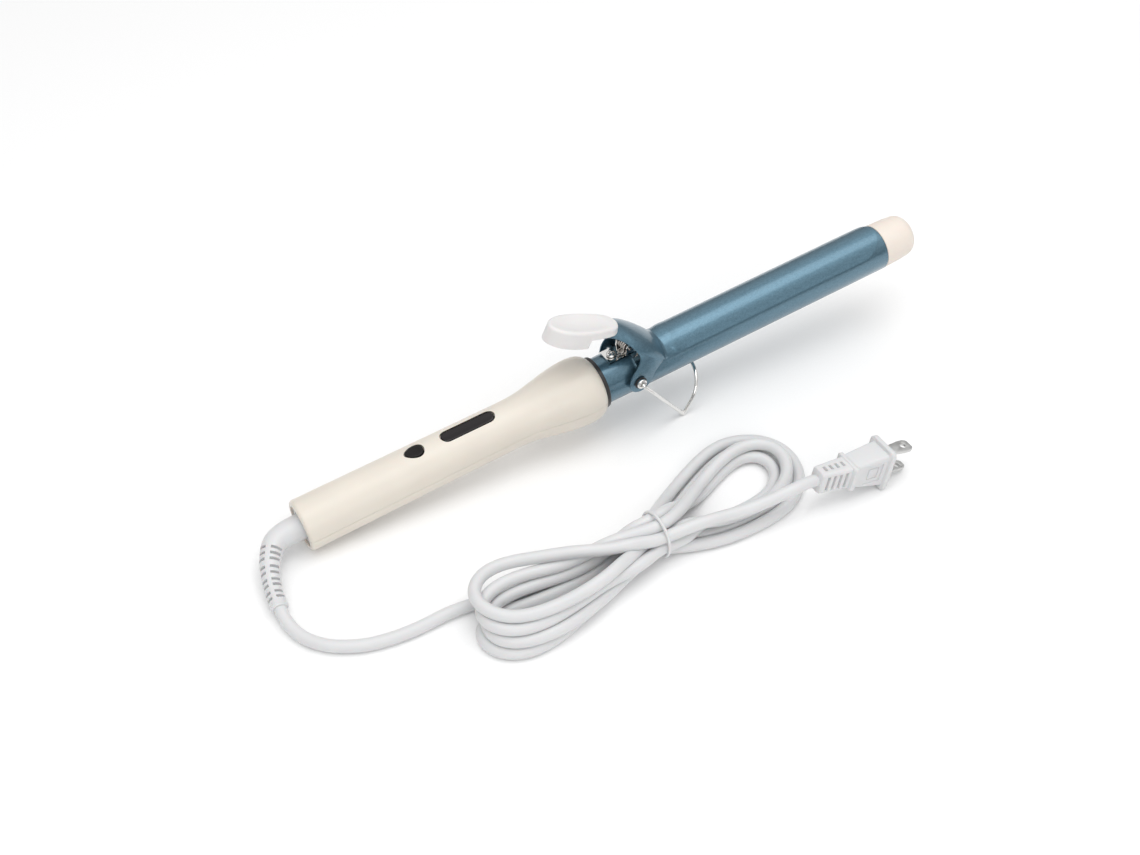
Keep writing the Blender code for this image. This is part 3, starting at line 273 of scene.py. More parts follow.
def interpolate(stations, x):
    """A smooth curve through stations of (x, value), level with its neighbours' slopes."""
    if x <= stations[0][0]:
        return stations[0][1]
    if x >= stations[-1][0]:
        return stations[-1][1]
    index = max(i for i, station in enumerate(stations) if station[0] <= x)
    x0, y0 = stations[index]
    x1, y1 = stations[index + 1]

    def slope(i):
        before, after = stations[max(i - 1, 0)], stations[min(i + 1, len(stations) - 1)]
        return (after[1] - before[1]) / (after[0] - before[0])

    span = x1 - x0
    t = (x - x0) / span
    first = (1 + 2 * t) * (1 - t) ** 2 * y0 + t * (1 - t) ** 2 * span * slope(index)
    second = t * t * (3 - 2 * t) * y1 - t * t * (1 - t) * span * slope(index + 1)
    return first + second


def curve_point(points, i, t):
    """A point on the smooth curve through the given ones, a share t of the way from one to the next."""
    p1, p2 = points[i], points[i + 1]
    p0 = points[i - 1] if i else p1 * 2 - p2
    p3 = points[i + 2] if i + 2 < len(points) else p2 * 2 - p1
    return 0.5 * (2 * p1 + (p2 - p0) * t + (2 * p0 - 5 * p1 + 4 * p2 - p3) * t * t
                  + (3 * p1 - p0 - 3 * p2 + p3) * t * t * t)


def smooth_path(points, spacing):
    """Points along a smooth curve through the given ones, about a spacing apart."""
    points = [Vector(point) for point in points]
    path = []
    for i in range(len(points) - 1):
        steps = max(1, round((points[i + 1] - points[i]).length / spacing))
        path += [curve_point(points, i, step / steps) for step in range(steps)]
    return path + [points[-1]]


def rounded(points, radius):
    """Replaces each inner corner of a run of straight lines by a short curve."""
    points = [Vector(point) for point in points]
    steps = 8
    path = [points[0]]
    for before, corner, after in zip(points, points[1:], points[2:]):
        start = corner + (before - corner).normalized() * radius
        end = corner + (after - corner).normalized() * radius
        for i in range(steps + 1):
            t = i / steps
            path.append(start * (1 - t) ** 2 + corner * 2 * t * (1 - t) + end * t * t)
    path.append(points[-1])
    return path


def frames_along(path):
    """For each point of a path, its direction there and two directions across it that don't twist."""
    frames = []
    across = None
    for i in range(len(path)):
        ahead = (path[min(i + 1, len(path) - 1)] - path[max(i - 1, 0)]).normalized()
        if across is None:
            across = ahead.cross(Vector((0, 0, 1))).normalized()
        else:
            across = (across - ahead * across.dot(ahead)).normalized()
        frames.append((ahead, across, across.cross(ahead).normalized()))
    return frames


def tube(path, radius, sides=24):
    """A round tube along a path. The radius is a number or one value for each point."""
    path = [Vector(point) for point in path]
    rings = []
    for i, (_, across, up) in enumerate(frames_along(path)):
        r = radius[i] if isinstance(radius, list) else radius
        ring = []
        for k in range(sides):
            angle = math.tau * k / sides
            ring.append(path[i] + r * (across * math.cos(angle) + up * math.sin(angle)))
        rings.append(ring)
    return loft(rings)


def as_mesh(bm, name="temporary"):
    mesh = bpy.data.meshes.new(name)
    bm.to_mesh(mesh)
    bm.free()
    return mesh


def add_object(name, data):
    """Puts a mesh, a light or a camera into the scene."""
    obj = bpy.data.objects.new(name, data)
    bpy.context.scene.collection.objects.link(obj)
    return obj


def discard(obj):
    mesh = obj.data
    bpy.data.objects.remove(obj)
    bpy.data.meshes.remove(mesh)


def after_modifiers(obj):
    """The shape an object has with its modifiers, as a bmesh. The object is removed."""
    bm = bmesh.new()
    bm.from_object(obj, bpy.context.evaluated_depsgraph_get())
    discard(obj)
    return bm


def combine(bm, tools, operation="DIFFERENCE"):
    """Cuts tools from a shape, or joins them to it."""
    target = add_object("target", as_mesh(bm))
    cutters = []
    for tool in tools:
        bmesh.ops.recalc_face_normals(tool, faces=tool.faces)
        cutters.append(add_object("cutter", as_mesh(tool)))
        modifier = target.modifiers.new("cut", "BOOLEAN")
        modifier.operation = operation
        modifier.solver = "EXACT"
        modifier.object = cutters[-1]
    shaped = after_modifiers(target)
    for cutter in cutters:
        discard(cutter)
    return shaped


def soften(bm, width, angle):
    """Rounds every edge sharper than an angle."""
    obj = add_object("softened", as_mesh(bm))
    modifier = obj.modifiers.new("soften", "BEVEL")
    modifier.width = width
    modifier.segments = 2
    modifier.limit_method = "ANGLE"
    modifier.angle_limit = math.radians(angle)
    modifier.use_clamp_overlap = True
    return after_modifiers(obj)


def joined(shapes):
    """Several separate shapes as one bmesh."""
    whole = bmesh.new()
    for shape in shapes:
        mesh = as_mesh(shape)
        whole.from_mesh(mesh)
        bpy.data.meshes.remove(mesh)
    return whole


def place_of(frame, point):
    """Where a point in one of the iron's two frames lies in the scene, in metres."""
    return frame @ (Vector(point) * MM)


def piece(name, bm, materials, slot, body, place, *replaced, look=None, sharp=32.0):
    """Puts a shape in millimetres into the scene as one piece that rides on a body, if one is given.
    It stands for the replaced CAD nodes. Its material is its slot's, unless it has a look of its own."""
    bmesh.ops.scale(bm, vec=(MM, MM, MM), verts=bm.verts)
    bm.transform(place)
    bmesh.ops.recalc_face_normals(bm, faces=bm.faces)
    mesh = as_mesh(bm, name)
    mesh.validate()  # a bevel can leave the same face twice
    mesh.shade_smooth()
    mesh.set_sharp_from_angle(angle=math.radians(sharp))
    mesh.materials.append(materials[look or slot])
    obj = add_object(name, mesh)
    if body:
        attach(obj, body)
    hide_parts(*replaced)
    return obj


# -------------------- materials

def set_inputs(tree, node, **values):
    """Sets a node's inputs by name, each to a constant or to the output of another node."""
    for name, value in values.items():
        socket = node.inputs[name.replace("_", " ")]
        if isinstance(value, bpy.types.NodeSocket):
            tree.links.new(value, socket)
        else:
            socket.default_value = value


def add_node(tree, kind, **values):
    node = tree.nodes.new("ShaderNode" + kind)
    set_inputs(tree, node, **values)
    return node


def new_material(name):
    material = bpy.data.materials.new(name)
    material.use_nodes = True
    tree = material.node_tree
    return material, tree, tree.nodes["Principled BSDF"]


def add_noise(tree, scale, detail=2.0, stretch=(1.0, 1.0, 1.0)):
    """A noise pattern fixed to the piece. The scale is in blobs per metre."""
    coords = add_node(tree, "TexCoord")
    mapping = add_node(tree, "Mapping", Vector=coords.outputs["Object"], Scale=stretch)
    noise = add_node(tree, "TexNoise", Vector=mapping.outputs["Vector"], Scale=scale, Detail=detail)
    return noise.outputs["Fac"]


def spread(tree, value, low, high, from_low=0.3, from_high=0.7):
    """Maps a pattern to a range of numbers."""
    remap = add_node(tree, "MapRange", Value=value, From_Min=from_low, From_Max=from_high,
                     To_Min=low, To_Max=high)
    return remap.outputs["Result"]


def mix_colours(tree, pattern, first, second):
    """Goes from one colour to another with a pattern."""
    mix = add_node(tree, "Mix")
    mix.data_type = "RGBA"
    set_inputs(tree, mix, Factor=pattern, A=(*first, 1.0), B=(*second, 1.0))
    return mix.outputs["Result"]


def bumps(tree, height, distance, strength=1.0):
    bump = add_node(tree, "Bump", Height=height, Distance=distance, Strength=strength)
    return bump.outputs["Normal"]


def scaled(colour, factor):
    return tuple(channel * factor for channel in colour)


def plastic(name, colour, roughness, grain=2600.0, depth=0.000012, mottle=0.04, soft=0.0, shine=0.5):
    """Moulded plastic: fine spark-eroded grain, faint uneven colour and uneven gloss."""
    material, tree, shader = new_material(name)
    clouds = spread(tree, add_noise(tree, 55.0, 3.0), 0.0, 1.0)
    patches = add_noise(tree, 240.0, 4.0)
    set_inputs(
        tree, shader,
        Base_Color=mix_colours(tree, clouds, scaled(colour, 1.0 - mottle), colour),
        Roughness=spread(tree, patches, roughness - 0.05, roughness + 0.06),
        Normal=bumps(tree, add_noise(tree, grain, 3.0), depth),
        Subsurface_Weight=soft, Subsurface_Scale=0.002, Specular_IOR_Level=shine,
    )
    return material


def pearl_enamel(name, dark, light, roughness, coat):
    """Baked enamel with fine metal flakes under a clear coat, a little cloudy along the piece."""
    material, tree, shader = new_material(name)
    coords = add_node(tree, "TexCoord")
    flakes = add_node(tree, "TexVoronoi", Vector=coords.outputs["Object"], Scale=3400.0)
    separate = add_node(tree, "SeparateColor", Color=flakes.outputs["Color"])
    cloud = add_noise(tree, 900.0, 3.0, (0.6, 1.0, 1.0))
    total = add_node(tree, "Math")
    total.operation = "ADD"
    tree.links.new(spread(tree, separate.outputs["Red"], 0.1, 0.55, 0.0, 1.0), total.inputs[0])
    tree.links.new(spread(tree, cloud, 0.0, 0.35), total.inputs[1])
    set_inputs(
        tree, shader,
        Base_Color=mix_colours(tree, total.outputs[0], dark, light),
        Roughness=spread(tree, cloud, roughness - 0.03, roughness + 0.05),
        Normal=bumps(tree, separate.outputs["Green"], 0.00001, 0.35),
        Metallic=0.8, Coat_Weight=coat, Coat_Roughness=0.06,
    )
    return material


def metal(name, colour, roughness):
    """Plated metal with faint rubbing marks and fingerprints in the gloss."""
    material, tree, shader = new_material(name)
    smears = add_noise(tree, 300.0, 5.0)
    scratches = add_noise(tree, 1500.0, 4.0, (0.2, 1.0, 1.0))
    set_inputs(
        tree, shader,
        Base_Color=mix_colours(tree, spread(tree, smears, 0.0, 1.0), scaled(colour, 0.9), colour),
        Roughness=spread(tree, smears, roughness * 0.7, roughness * 1.5),
        Normal=bumps(tree, scratches, 0.000004), Metallic=1.0,
    )
    return material


def smoked_window(name):
    """Smoked, polished acrylic, with faint wipe marks."""
    material, tree, shader = new_material(name)
    wiped = add_noise(tree, 160.0, 4.0, (0.3, 1.0, 1.0))
    dark, light = (0.011, 0.009, 0.010), (0.016, 0.013, 0.014)
    set_inputs(
        tree, shader,
        Base_Color=mix_colours(tree, spread(tree, wiped, 0.0, 1.0), dark, light),
        Roughness=spread(tree, wiped, 0.07, 0.16), Specular_IOR_Level=0.3,
    )
    return material


def floor_paper(name):
    material, tree, shader = new_material(name)
    fibre = add_noise(tree, 900.0, 4.0)
    dark, light = (0.93, 0.93, 0.93), (0.95, 0.95, 0.95)
    set_inputs(
        tree, shader,
        Base_Color=mix_colours(tree, spread(tree, fibre, 0.0, 1.0), dark, light),
        Roughness=spread(tree, fibre, 0.75, 0.9),
    )
    return material


def make_materials():
    """One material for each of the CAD's slots, and one for the thumb rest's own white."""
    return {
        "cream": plastic("cream_plastic", (0.755, 0.70, 0.62), 0.36, soft=0.08),
        "tip_cream": plastic("tip_plastic", (0.82, 0.74, 0.665), 0.46, soft=0.08),
        "teal": pearl_enamel("teal_pearl_enamel", (0.077, 0.152, 0.205), (0.14, 0.255, 0.33), 0.32, 0.6),
        "clip_teal": pearl_enamel("clip_enamel", (0.072, 0.147, 0.20), (0.135, 0.25, 0.325), 0.34, 0.5),
        "black_plastic": plastic("black_heat_plastic", (0.028, 0.026, 0.027), 0.42),
        "smoke": smoked_window("smoked_window"),
        "button_black": plastic("button_black", (0.010, 0.009, 0.009), 0.34, shine=0.2),
        "rest_white": plastic("thumb_rest_white", (0.77, 0.755, 0.75), 0.38, soft=0.1),
        # White plastic greyed as painted shade for the recess at the handle's rear, where the swivel
        # ring sits
        "white_plastic": plastic("swivel_white", (0.64, 0.64, 0.65), 0.40, soft=0.08),
        "chrome": metal("chrome_plate", (0.85, 0.84, 0.82), 0.08),
        "spring_steel": metal("spring_steel", (0.56, 0.53, 0.50), 0.20),
        "zinc": metal("zinc_plate", (0.62, 0.62, 0.62), 0.28),
        "pvc": plastic("cord_pvc", (0.68, 0.683, 0.69), 0.36, grain=1500.0, depth=0.00002, soft=0.1),
        "nickel": metal("blade_nickel", (0.66, 0.66, 0.65), 0.36),
        "brass": metal("contact_brass", (0.75, 0.58, 0.28), 0.28),
        "phenolic": plastic("phenolic_brown", (0.16, 0.09, 0.05), 0.60, mottle=0.2),
        "aluminium": metal("heater_aluminium", (0.70, 0.70, 0.72), 0.36),
        "ceramic": plastic("heater_ceramic", (0.75, 0.70, 0.62), 0.70),
        "board": plastic("board_green", (0.03, 0.20, 0.08), 0.42),
        "component": plastic("component_black", (0.04, 0.04, 0.04), 0.50),
        "silicone": plastic("lead_silicone", (0.65, 0.65, 0.62), 0.58),
    }


# -------------------- handle and controls

def handle_radius(x):
    return interpolate(HANDLE_STATIONS, x)


def handle_profile():
    """Outer surface from rear to front, then the wall's inner surface back to the rear."""
    rear = HANDLE_REAR_X
    edge_centre = (rear + HANDLE_EDGE_R, HANDLE_REAR_R - HANDLE_EDGE_R)
    outer = arc(edge_centre, HANDLE_EDGE_R, 180.0, 90.0, 8)
    straight = [10.0 + 4.0 * i for i in range(27)]
    flare = [HANDLE_NECK_X + 1.3 * i for i in range(37)]
    lip = [166.0, 167.2, 168.2, 168.9, 169.5, 169.95, HANDLE_FRONT_X]
    outer += [(x, handle_radius(x)) for x in straight + flare + lip]
    inner = [(HANDLE_FRONT_X, HANDLE_LIP_R), (HANDLE_FRONT_X - HANDLE_WALL, HANDLE_LIP_R)]
    inner += [(x, handle_radius(x) - HANDLE_WALL) for x in (166.5, 162, 156, 149, 143, 137, 131, 118)]
    inner += [(rear + 5.2, HANDLE_REAR_R - HANDLE_WALL), (rear + 5.2, 8.8), (rear + 3.2, 8.8),
              (rear + 3.2, REAR_BORE_R), (rear + 0.3, REAR_BORE_R), (rear, REAR_BORE_R + 0.3)]
    return outer + inner


def stadium(grow):
    """The window's outline about its middle."""
    radius = WINDOW_WIDTH / 2 + grow
    straight = (WINDOW_LENGTH - WINDOW_WIDTH) / 2
    front = arc((straight, 0.0), radius, -90.0, 90.0, 24)
    rear = arc((-straight, 0.0), radius, 90.0, 270.0, 24)
    return front + rear


def egg(grow):
    """The button's outline about its middle: blunt in front and drawn out behind."""
    points = []
    for i in range(56):
        angle = math.tau * i / 56
        t = math.cos(angle)
        half_width = (BUTTON_WIDTH / 2 + grow) * (1 + 0.27 * t) / 1.03
        points.append(((BUTTON_LENGTH / 2 + grow) * t, half_width * math.sin(angle)))
    return points


def on_handle(outline, x, lift, size=1.0, dish=None):
    """An outline laid on the handle's round surface, raised by lift and shrunk to a share of its size.
    A dish is a function that says how far the surface is sunk at a point."""
    ring = []
    for dx, y in outline:
        dx, y = dx * size, y * size
        height = math.sqrt(handle_radius(x + dx) ** 2 - y * y) + lift
        if dish:
            height -= dish(dx, y)
        ring.append((x + dx, y, height))
    return ring


def opening(outline, x):
    """The cutter for an opening in the handle, wider at the top, so that it leaves a bevelled edge."""
    wide, close = OPENING_GAP + OPENING_BEVEL, OPENING_GAP
    return loft([
        on_handle(outline(wide), x, 2.0), on_handle(outline(wide), x, 0.02),
        on_handle(outline(close), x, -OPENING_BEVEL), on_handle(outline(close), x, -4.0),
    ])


def inlay(outline, x, level, dish=None):
    """A part that fills an opening: straight sides, a rounded edge and a top that follows the handle."""
    rings = [on_handle(outline(0.0), x, -2.2), on_handle(outline(0.0), x, level - 0.35)]
    for grow, drop in ((-0.04, 0.2), (-0.14, 0.08), (-0.3, 0.0)):
        rings.append(on_handle(outline(grow), x, level - drop, 1.0, dish))
    for size in (0.9, 0.8, 0.72, 0.64, 0.56, 0.48, 0.4, 0.3, 0.2, 0.1, 0.03):
        rings.append(on_handle(outline(-0.3), x, level, size, dish))
    return loft(rings)


def button_dish(dx, y):
    """A shallow round dish for the fingertip, with a soft rim."""
    reach = math.hypot(dx - 0.5, y) / 2.7
    return 0.5 * max(0.0, 1 - reach * reach) ** 0.7


def build_handle(materials, iron):
    clearance = math.degrees(SEAM / 2 / HANDLE_REAR_R)
    upper = turned(handle_profile(), 88, -90.0 + clearance, 180.0 - 2 * clearance)
    lower = turned(handle_profile(), 88, 90.0 + clearance, 180.0 - 2 * clearance)
    upper = combine(upper, [opening(stadium, WINDOW_X), opening(egg, BUTTON_X)])
    post_r, head_r, shank_r = 3.7, 2.9, 1.5
    posts, bores = [], []
    for x in HANDLE_SCREW_X:
        wall = handle_radius(x) - HANDLE_WALL / 2
        posts.append(rod((x, 0, -0.3), (x, 0, -wall), post_r))
        bores.append(rod((x, 0, -20), (x, 0, -8.0), head_r))
        bores.append(rod((x, 0, -20), (x, 0, 8.5), shank_r))
    lower = combine(lower, posts, "UNION")
    lower = combine(lower, bores)
    lens = inlay(stadium, WINDOW_X, -0.25)
    button = inlay(egg, BUTTON_X, 0.3, button_dish)
    piece("handle_top_half", upper, materials, "cream", "root", iron, "handle_upper_shell")
    piece("handle_bottom_half", lower, materials, "cream", "root", iron, "handle_lower_shell")
    piece("window_lens", lens, materials, "smoke", "root", iron, "display_window")
    piece("button_cap", button, materials, "button_black", "button", iron, "control_button")


# -------------------- barrel and tip

def build_barrel(materials, iron):
    low, high = BARREL_X
    inner = BARREL_R - BARREL_WALL
    edge = 0.25
    profile = [(low, BARREL_R), (180.0, BARREL_R), (240.0, BARREL_R), (300.0, BARREL_R)]
    profile += arc((high - edge, BARREL_R - edge), edge, 90.0, 0.0, 4)
    profile += [(high, inner), (low, inner)]
    piece("barrel_shell", turned(profile, 192), materials, "teal", "root", iron, "barrel_tube")

    sleeve_rear, sleeve_r, flange_r = 158.4, HANDLE_LIP_R - 0.3, 14.0
    front, edge = HANDLE_FRONT_X + 0.3, 0.6
    profile = [(sleeve_rear, sleeve_r), (front, sleeve_r), (front, flange_r)]
    profile += arc((front + 1.6, flange_r - edge), edge, 90.0, 0.0, 6)
    profile += [(front + 2.2, BARREL_R + 0.3), (sleeve_rear, BARREL_R + 0.3)]
    piece("collar_ring", turned(profile), materials, "black_plastic", "root", iron, "front_collar")

    end, dome = IRON_END, TIP_EDGE_R
    side_r = TIP_R - 0.8
    profile = [(368.0, 0.0), (366.0, 7.0), (342.0, 9.6), (342.0, inner - 0.3), (high + 0.3, inner - 0.3),
               (high + 0.3, TIP_R - 0.2), (high + 0.5, TIP_R), (end - dome - 4.0, TIP_R - 0.4)]
    profile += arc((end - dome, side_r - dome), dome, 84.0, 6.0, 18)
    profile += [(end - 0.05, 4.2), (end, 3.0), (end, 0.0)]
    piece("tip_cap", turned(profile), materials, "tip_cream", "root", iron, "cool_tip")


# -------------------- clip

def rest_point(along, across, depth):
    """A point on the thumb rest: along it from its front end, across it, and down from its top."""
    forward = Vector((-math.cos(REST_SLOPE), 0.0, math.sin(REST_SLOPE)))
    down = Vector((-math.sin(REST_SLOPE), 0.0, -math.cos(REST_SLOPE)))
    start = Vector((REST_FRONT[0], 0.0, REST_FRONT[1]))
    return start + forward * along + Vector((0.0, across, 0.0)) + down * depth


def lever_section(x, crest, half_width, edge, half_angle):
    """One cross-section of the formed sheet: an arch from its left edge over the top to its right."""
    count = 40
    points = []
    for i in range(count + 1):
        angle = half_angle * (2 * i / count - 1)
        y = half_width * math.sin(angle) / math.sin(half_angle)
        drop = (crest - edge) * (1 - math.cos(angle)) / (1 - math.cos(half_angle))
        points.append(Vector((x, y, crest - drop)))
    return points


def shoulder(x, share):
    """How far the plate stands out where it is drawn up into the lever, from a valley to a round lip.
    The valley runs further forward down the sides."""
    ahead = x - 209.2 - 4.0 * share * share
    valley = -0.3 * math.exp(-(ahead / 1.5) ** 2)
    lip = 0.3 * math.exp(-((ahead - 4.8) / 3.2) ** 2)
    return (valley + lip) * (1 - 0.5 * share ** 4)


def margin_flare(x, point):
    """How far the plate's long margins stand out, flat and leaning away from the barrel."""
    turn = math.atan2(abs(point.y), point.z)
    if turn <= MARGIN_ANGLE or x <= MARGIN_X:
        return 0.0
    lean = MARGIN_ANGLE - MARGIN_LEAN
    flare = PLATE_R * (math.cos(MARGIN_LEAN) / math.cos(turn - lean) - 1)
    return flare * min(1.0, (x - MARGIN_X) / 6.0)


def clip_sections():
    """Cross-sections from the tongue's end, past the hinge and up to the lever's end in the rest."""
    sections = []
    tongue_start = PLATE_X[1] - TONGUE_LENGTH
    places = [PLATE_X[1] - TONGUE_LENGTH * (1 - math.sin(math.radians(a)))
              for a in (88, 84, 79, 72, 64, 55, 46, 36, 26, 16, 7)]
    places += [tongue_start, 300.0, 268.0, 240.0]
    places += [232.0 - 0.75 * i for i in range(32)]
    for x in places:
        t = max(0.0, (x - tongue_start) / TONGUE_LENGTH)
        angle = PLATE_HALF_ANGLE * math.sqrt(max(0.0, 1 - t * t))
        section = lever_section(x, PLATE_R, PLATE_R * math.sin(angle), PLATE_R * math.cos(angle), angle)
        for i, point in enumerate(section):
            share = abs(2 * i / (len(section) - 1) - 1)
            outward = Vector((0.0, point.y, point.z)).normalized()
            section[i] = point + outward * (shoulder(x, share) + margin_flare(x, point))
        sections.append(section)
    bend = (  # place, crest, half width, edge height, half angle in degrees
        (207.0, 14.3, 12.4, 6.6, 66), (204.5, 17.0, 14.0, 8.8, 74), (199.5, 22.0, 15.0, 13.2, 82),
        (194.0, 26.8, 15.0, 18.4, 82), (190.0, 29.8, 13.4, 23.0, 74), (187.0, 31.6, 11.0, 26.4, 62),
        (183.0, 33.5, 8.6, 30.1, 52), (178.0, 35.7, 7.2, 33.4, 46),
    )
    coarse = [sections[-1]]
    for x, crest, width, edge, angle in bend:
        coarse.append(lever_section(x, crest, width, edge, math.radians(angle)))
    for along, width in ((19.0, 6.6), (26.0, 6.2), (29.0, 5.4)):
        top = rest_point(along, 0.0, TONGUE_DEPTH + SHEET / 2)
        coarse.append(lever_section(top.x, top.z, width, top.z - 2.1, math.radians(44)))
    columns = list(zip(*coarse))
    steps = 5
    for i in range(len(coarse) - 1):
        for step in range(steps):
            sections.append([curve_point(column, i, (step + 1) / steps) for column in columns])
    return sections


def ear_outline():
    """Side view of an ear: a round lobe on the pivot, drawn up to the lever's side edge."""
    lobe = arc((PIVOT_X, PIVOT_Z), 6.2, 175.0, 342.0, 24)
    front = [(197.0, 2.2), (199.4, 5.6), (204.0, 8.6)]
    top = [(204.2, 9.4), (199.5, 13.5), (194.0, 18.7), (190.0, 23.3), (187.3, 26.2)]
    rear = [(187.3, 26.0), (189.2, 23.2), (190.6, 19.6), (190.3, 15.6), (188.0, 11.4), (184.8, 7.4)]
    sweep = smooth_path([(x, z, 0) for x, z in [lobe[-1]] + front], 0.8)
    back = smooth_path([(x, z, 0) for x, z in rear + [lobe[0]]], 0.8)
    return lobe[:-1] + [(p.x, p.y) for p in sweep] + top + [(p.x, p.y) for p in back][:-1]


def build_ear(sign):
    """An ear of the same sheet, curving in with the lever's side above and in front, with its hole."""
    ear = prism(ear_outline(), -SHEET / 2, SHEET / 2, 1)
    cuts = [((0, 0, height), (0, 0, 1)) for height in range(14, 27)]
    cuts += [((place, 0, 0), (1, 0, 0)) for place in (197, 199, 200, 201, 202, 203)]
    for point, across in cuts:
        geometry = ear.verts[:] + ear.edges[:] + ear.faces[:]
        bmesh.ops.bisect_plane(ear, geom=geometry, plane_co=point, plane_no=across)
    ear = combine(ear, [rod((PIVOT_X, -2, PIVOT_Z), (PIVOT_X, 2, PIVOT_Z), 1.65)])
    ear = soften(ear, 0.12, 50.0)
    inside_lever = 0.08
    for vertex in ear.verts:
        side = interpolate(EAR_TOP_BEND, vertex.co.z)
        side -= EAR_Y - interpolate(EAR_FRONT_BEND, vertex.co.x)
        vertex.co.y = sign * (vertex.co.y + side - inside_lever)
    return ear


def sheet_solid(sections, thickness):
    """A closed sheet of even thickness about a grid of points."""
    rows, columns = len(sections), len(sections[0])
    skins = []
    bm = bmesh.new()
    for side in (0.5, -0.5):
        grid = []
        for i in range(rows):
            row = []
            for j in range(columns):
                along = sections[max(i - 1, 0)][j] - sections[min(i + 1, rows - 1)][j]
                across = sections[i][min(j + 1, columns - 1)] - sections[i][max(j - 1, 0)]
                normal = along.cross(across).normalized()
                row.append(bm.verts.new(sections[i][j] + normal * side * thickness))
            grid.append(row)
        skins.append(grid)
    outer, inner = skins
    for i in range(rows - 1):
        for j in range(columns - 1):
            bm.faces.new((outer[i][j], outer[i][j + 1], outer[i + 1][j + 1], outer[i + 1][j]))
            bm.faces.new((inner[i][j], inner[i + 1][j], inner[i + 1][j + 1], inner[i][j + 1]))
        for j in (0, columns - 1):
            bm.faces.new((outer[i][j], outer[i + 1][j], inner[i + 1][j], inner[i][j]))
    for i in (0, rows - 1):
        for j in range(columns - 1):
            bm.faces.new((outer[i][j], outer[i][j + 1], inner[i][j + 1], inner[i][j]))
    return bm


def rest_outline():
    """Plan of the thumb rest as (along, half width) up one side and back down the other."""
    widths = ((0.0, 0.8), (0.4, 2.2), (1.6, 4.4), (5.0, 6.7), (12.0, 8.4), (22.0, 9.3), (30.0, 8.9),
              (36.0, 6.9), (39.2, 4.3), (40.6, 2.2), (REST_LENGTH, 0.8))
    places = (0.0, 0.2, 0.5, 1.0, 1.6, 2.4, 3.4, 4.6, 6.0, 8.0, 10.0, 12.5, 15.0, 17.5, 19.4, 19.9,
              20.3, 20.7, 21.2, 23.0, 25.5, 28.0, 30.5, 32.8, 34.8, 36.4, 37.8, 39.0, 39.8, 40.4,
              40.8, REST_LENGTH)
    side = [(along, interpolate(widths, along)) for along in places]
    return side + [(along, -half) for along, half in reversed(side)]


def inset(outline, amount):
    """A closed outline moved inwards."""
    moved = []
    count = len(outline)
    for i, (x, y) in enumerate(outline):
        before, after = outline[i - 1], outline[(i + 1) % count]
        dx, dy = after[0] - before[0], after[1] - before[1]
        size = math.hypot(dx, dy)
        moved.append((x + amount * dy / size, y - amount * dx / size))
    return moved


def build_thumb_rest(materials, iron):
    """A moulded cap on the lever's end: dished on top, with a skirt that is deeper behind."""
    plan = rest_outline()
    middle = 21.5

    def skirt(along):
        t = min(1.0, max(0.0, (along - REST_STEP + 0.5) / 1.0))
        return FRONT_DEPTH + (REST_DEPTH - FRONT_DEPTH) * t * t * (3 - 2 * t)

    def dished(along, across):
        reach = math.hypot((along - 22.0) / 17.0, across / 7.6)
        return 1.5 * max(0.0, 1 - reach * reach)

    def ring(outline, depth, size=1.0):
        places = [(middle + (a - middle) * size, y * size) for a, y in outline]
        return [rest_point(a, y, depth(a, y)) for a, y in places]

    core = inset(plan, 1.9)
    rings = [ring(core, dished, size) for size in (0.02, 0.15, 0.3, 0.45, 0.6, 0.72, 0.83, 0.92, 1.0)]
    for inward, depth in ((1.5, 0.02), (1.0, 0.14), (0.55, 0.4), (0.22, 0.8), (0.04, 1.3), (0.0, 2.0)):
        rings.append(ring(inset(plan, inward), lambda a, y, d=depth: d))
    rings.append(ring(inset(plan, -0.3), lambda a, y: (skirt(a) - 0.3) * 0.6 + 0.8))
    for inward, above in ((-0.55, 0.5), (-0.5, 0.15), (-0.25, 0.0), (1.0, 0.0)):
        rings.append(ring(inset(plan, inward), lambda a, y, up=above: skirt(a) - up))
    ceiling = 2.9
    for size in (1.0, 0.5):
        rings.append(ring(inset(plan, 1.5), lambda a, y: ceiling, size))
    piece("thumb_rest_cap", loft(rings), materials, "white_plastic", "clip", iron, "thumb_rest",
          look="rest_white", sharp=48.0)


def build_clip(materials, iron):
    lever = sheet_solid(clip_sections(), SHEET)
    lever = soften(lever, 0.12, 50.0)
    clip = joined([lever, build_ear(-1), build_ear(1)])
    piece("clip_sheet", clip, materials, "clip_teal", "clip", iron, "clip_lever", sharp=38.0)
    build_thumb_rest(materials, iron)


# -------------------- bracket, screws, spring and stand

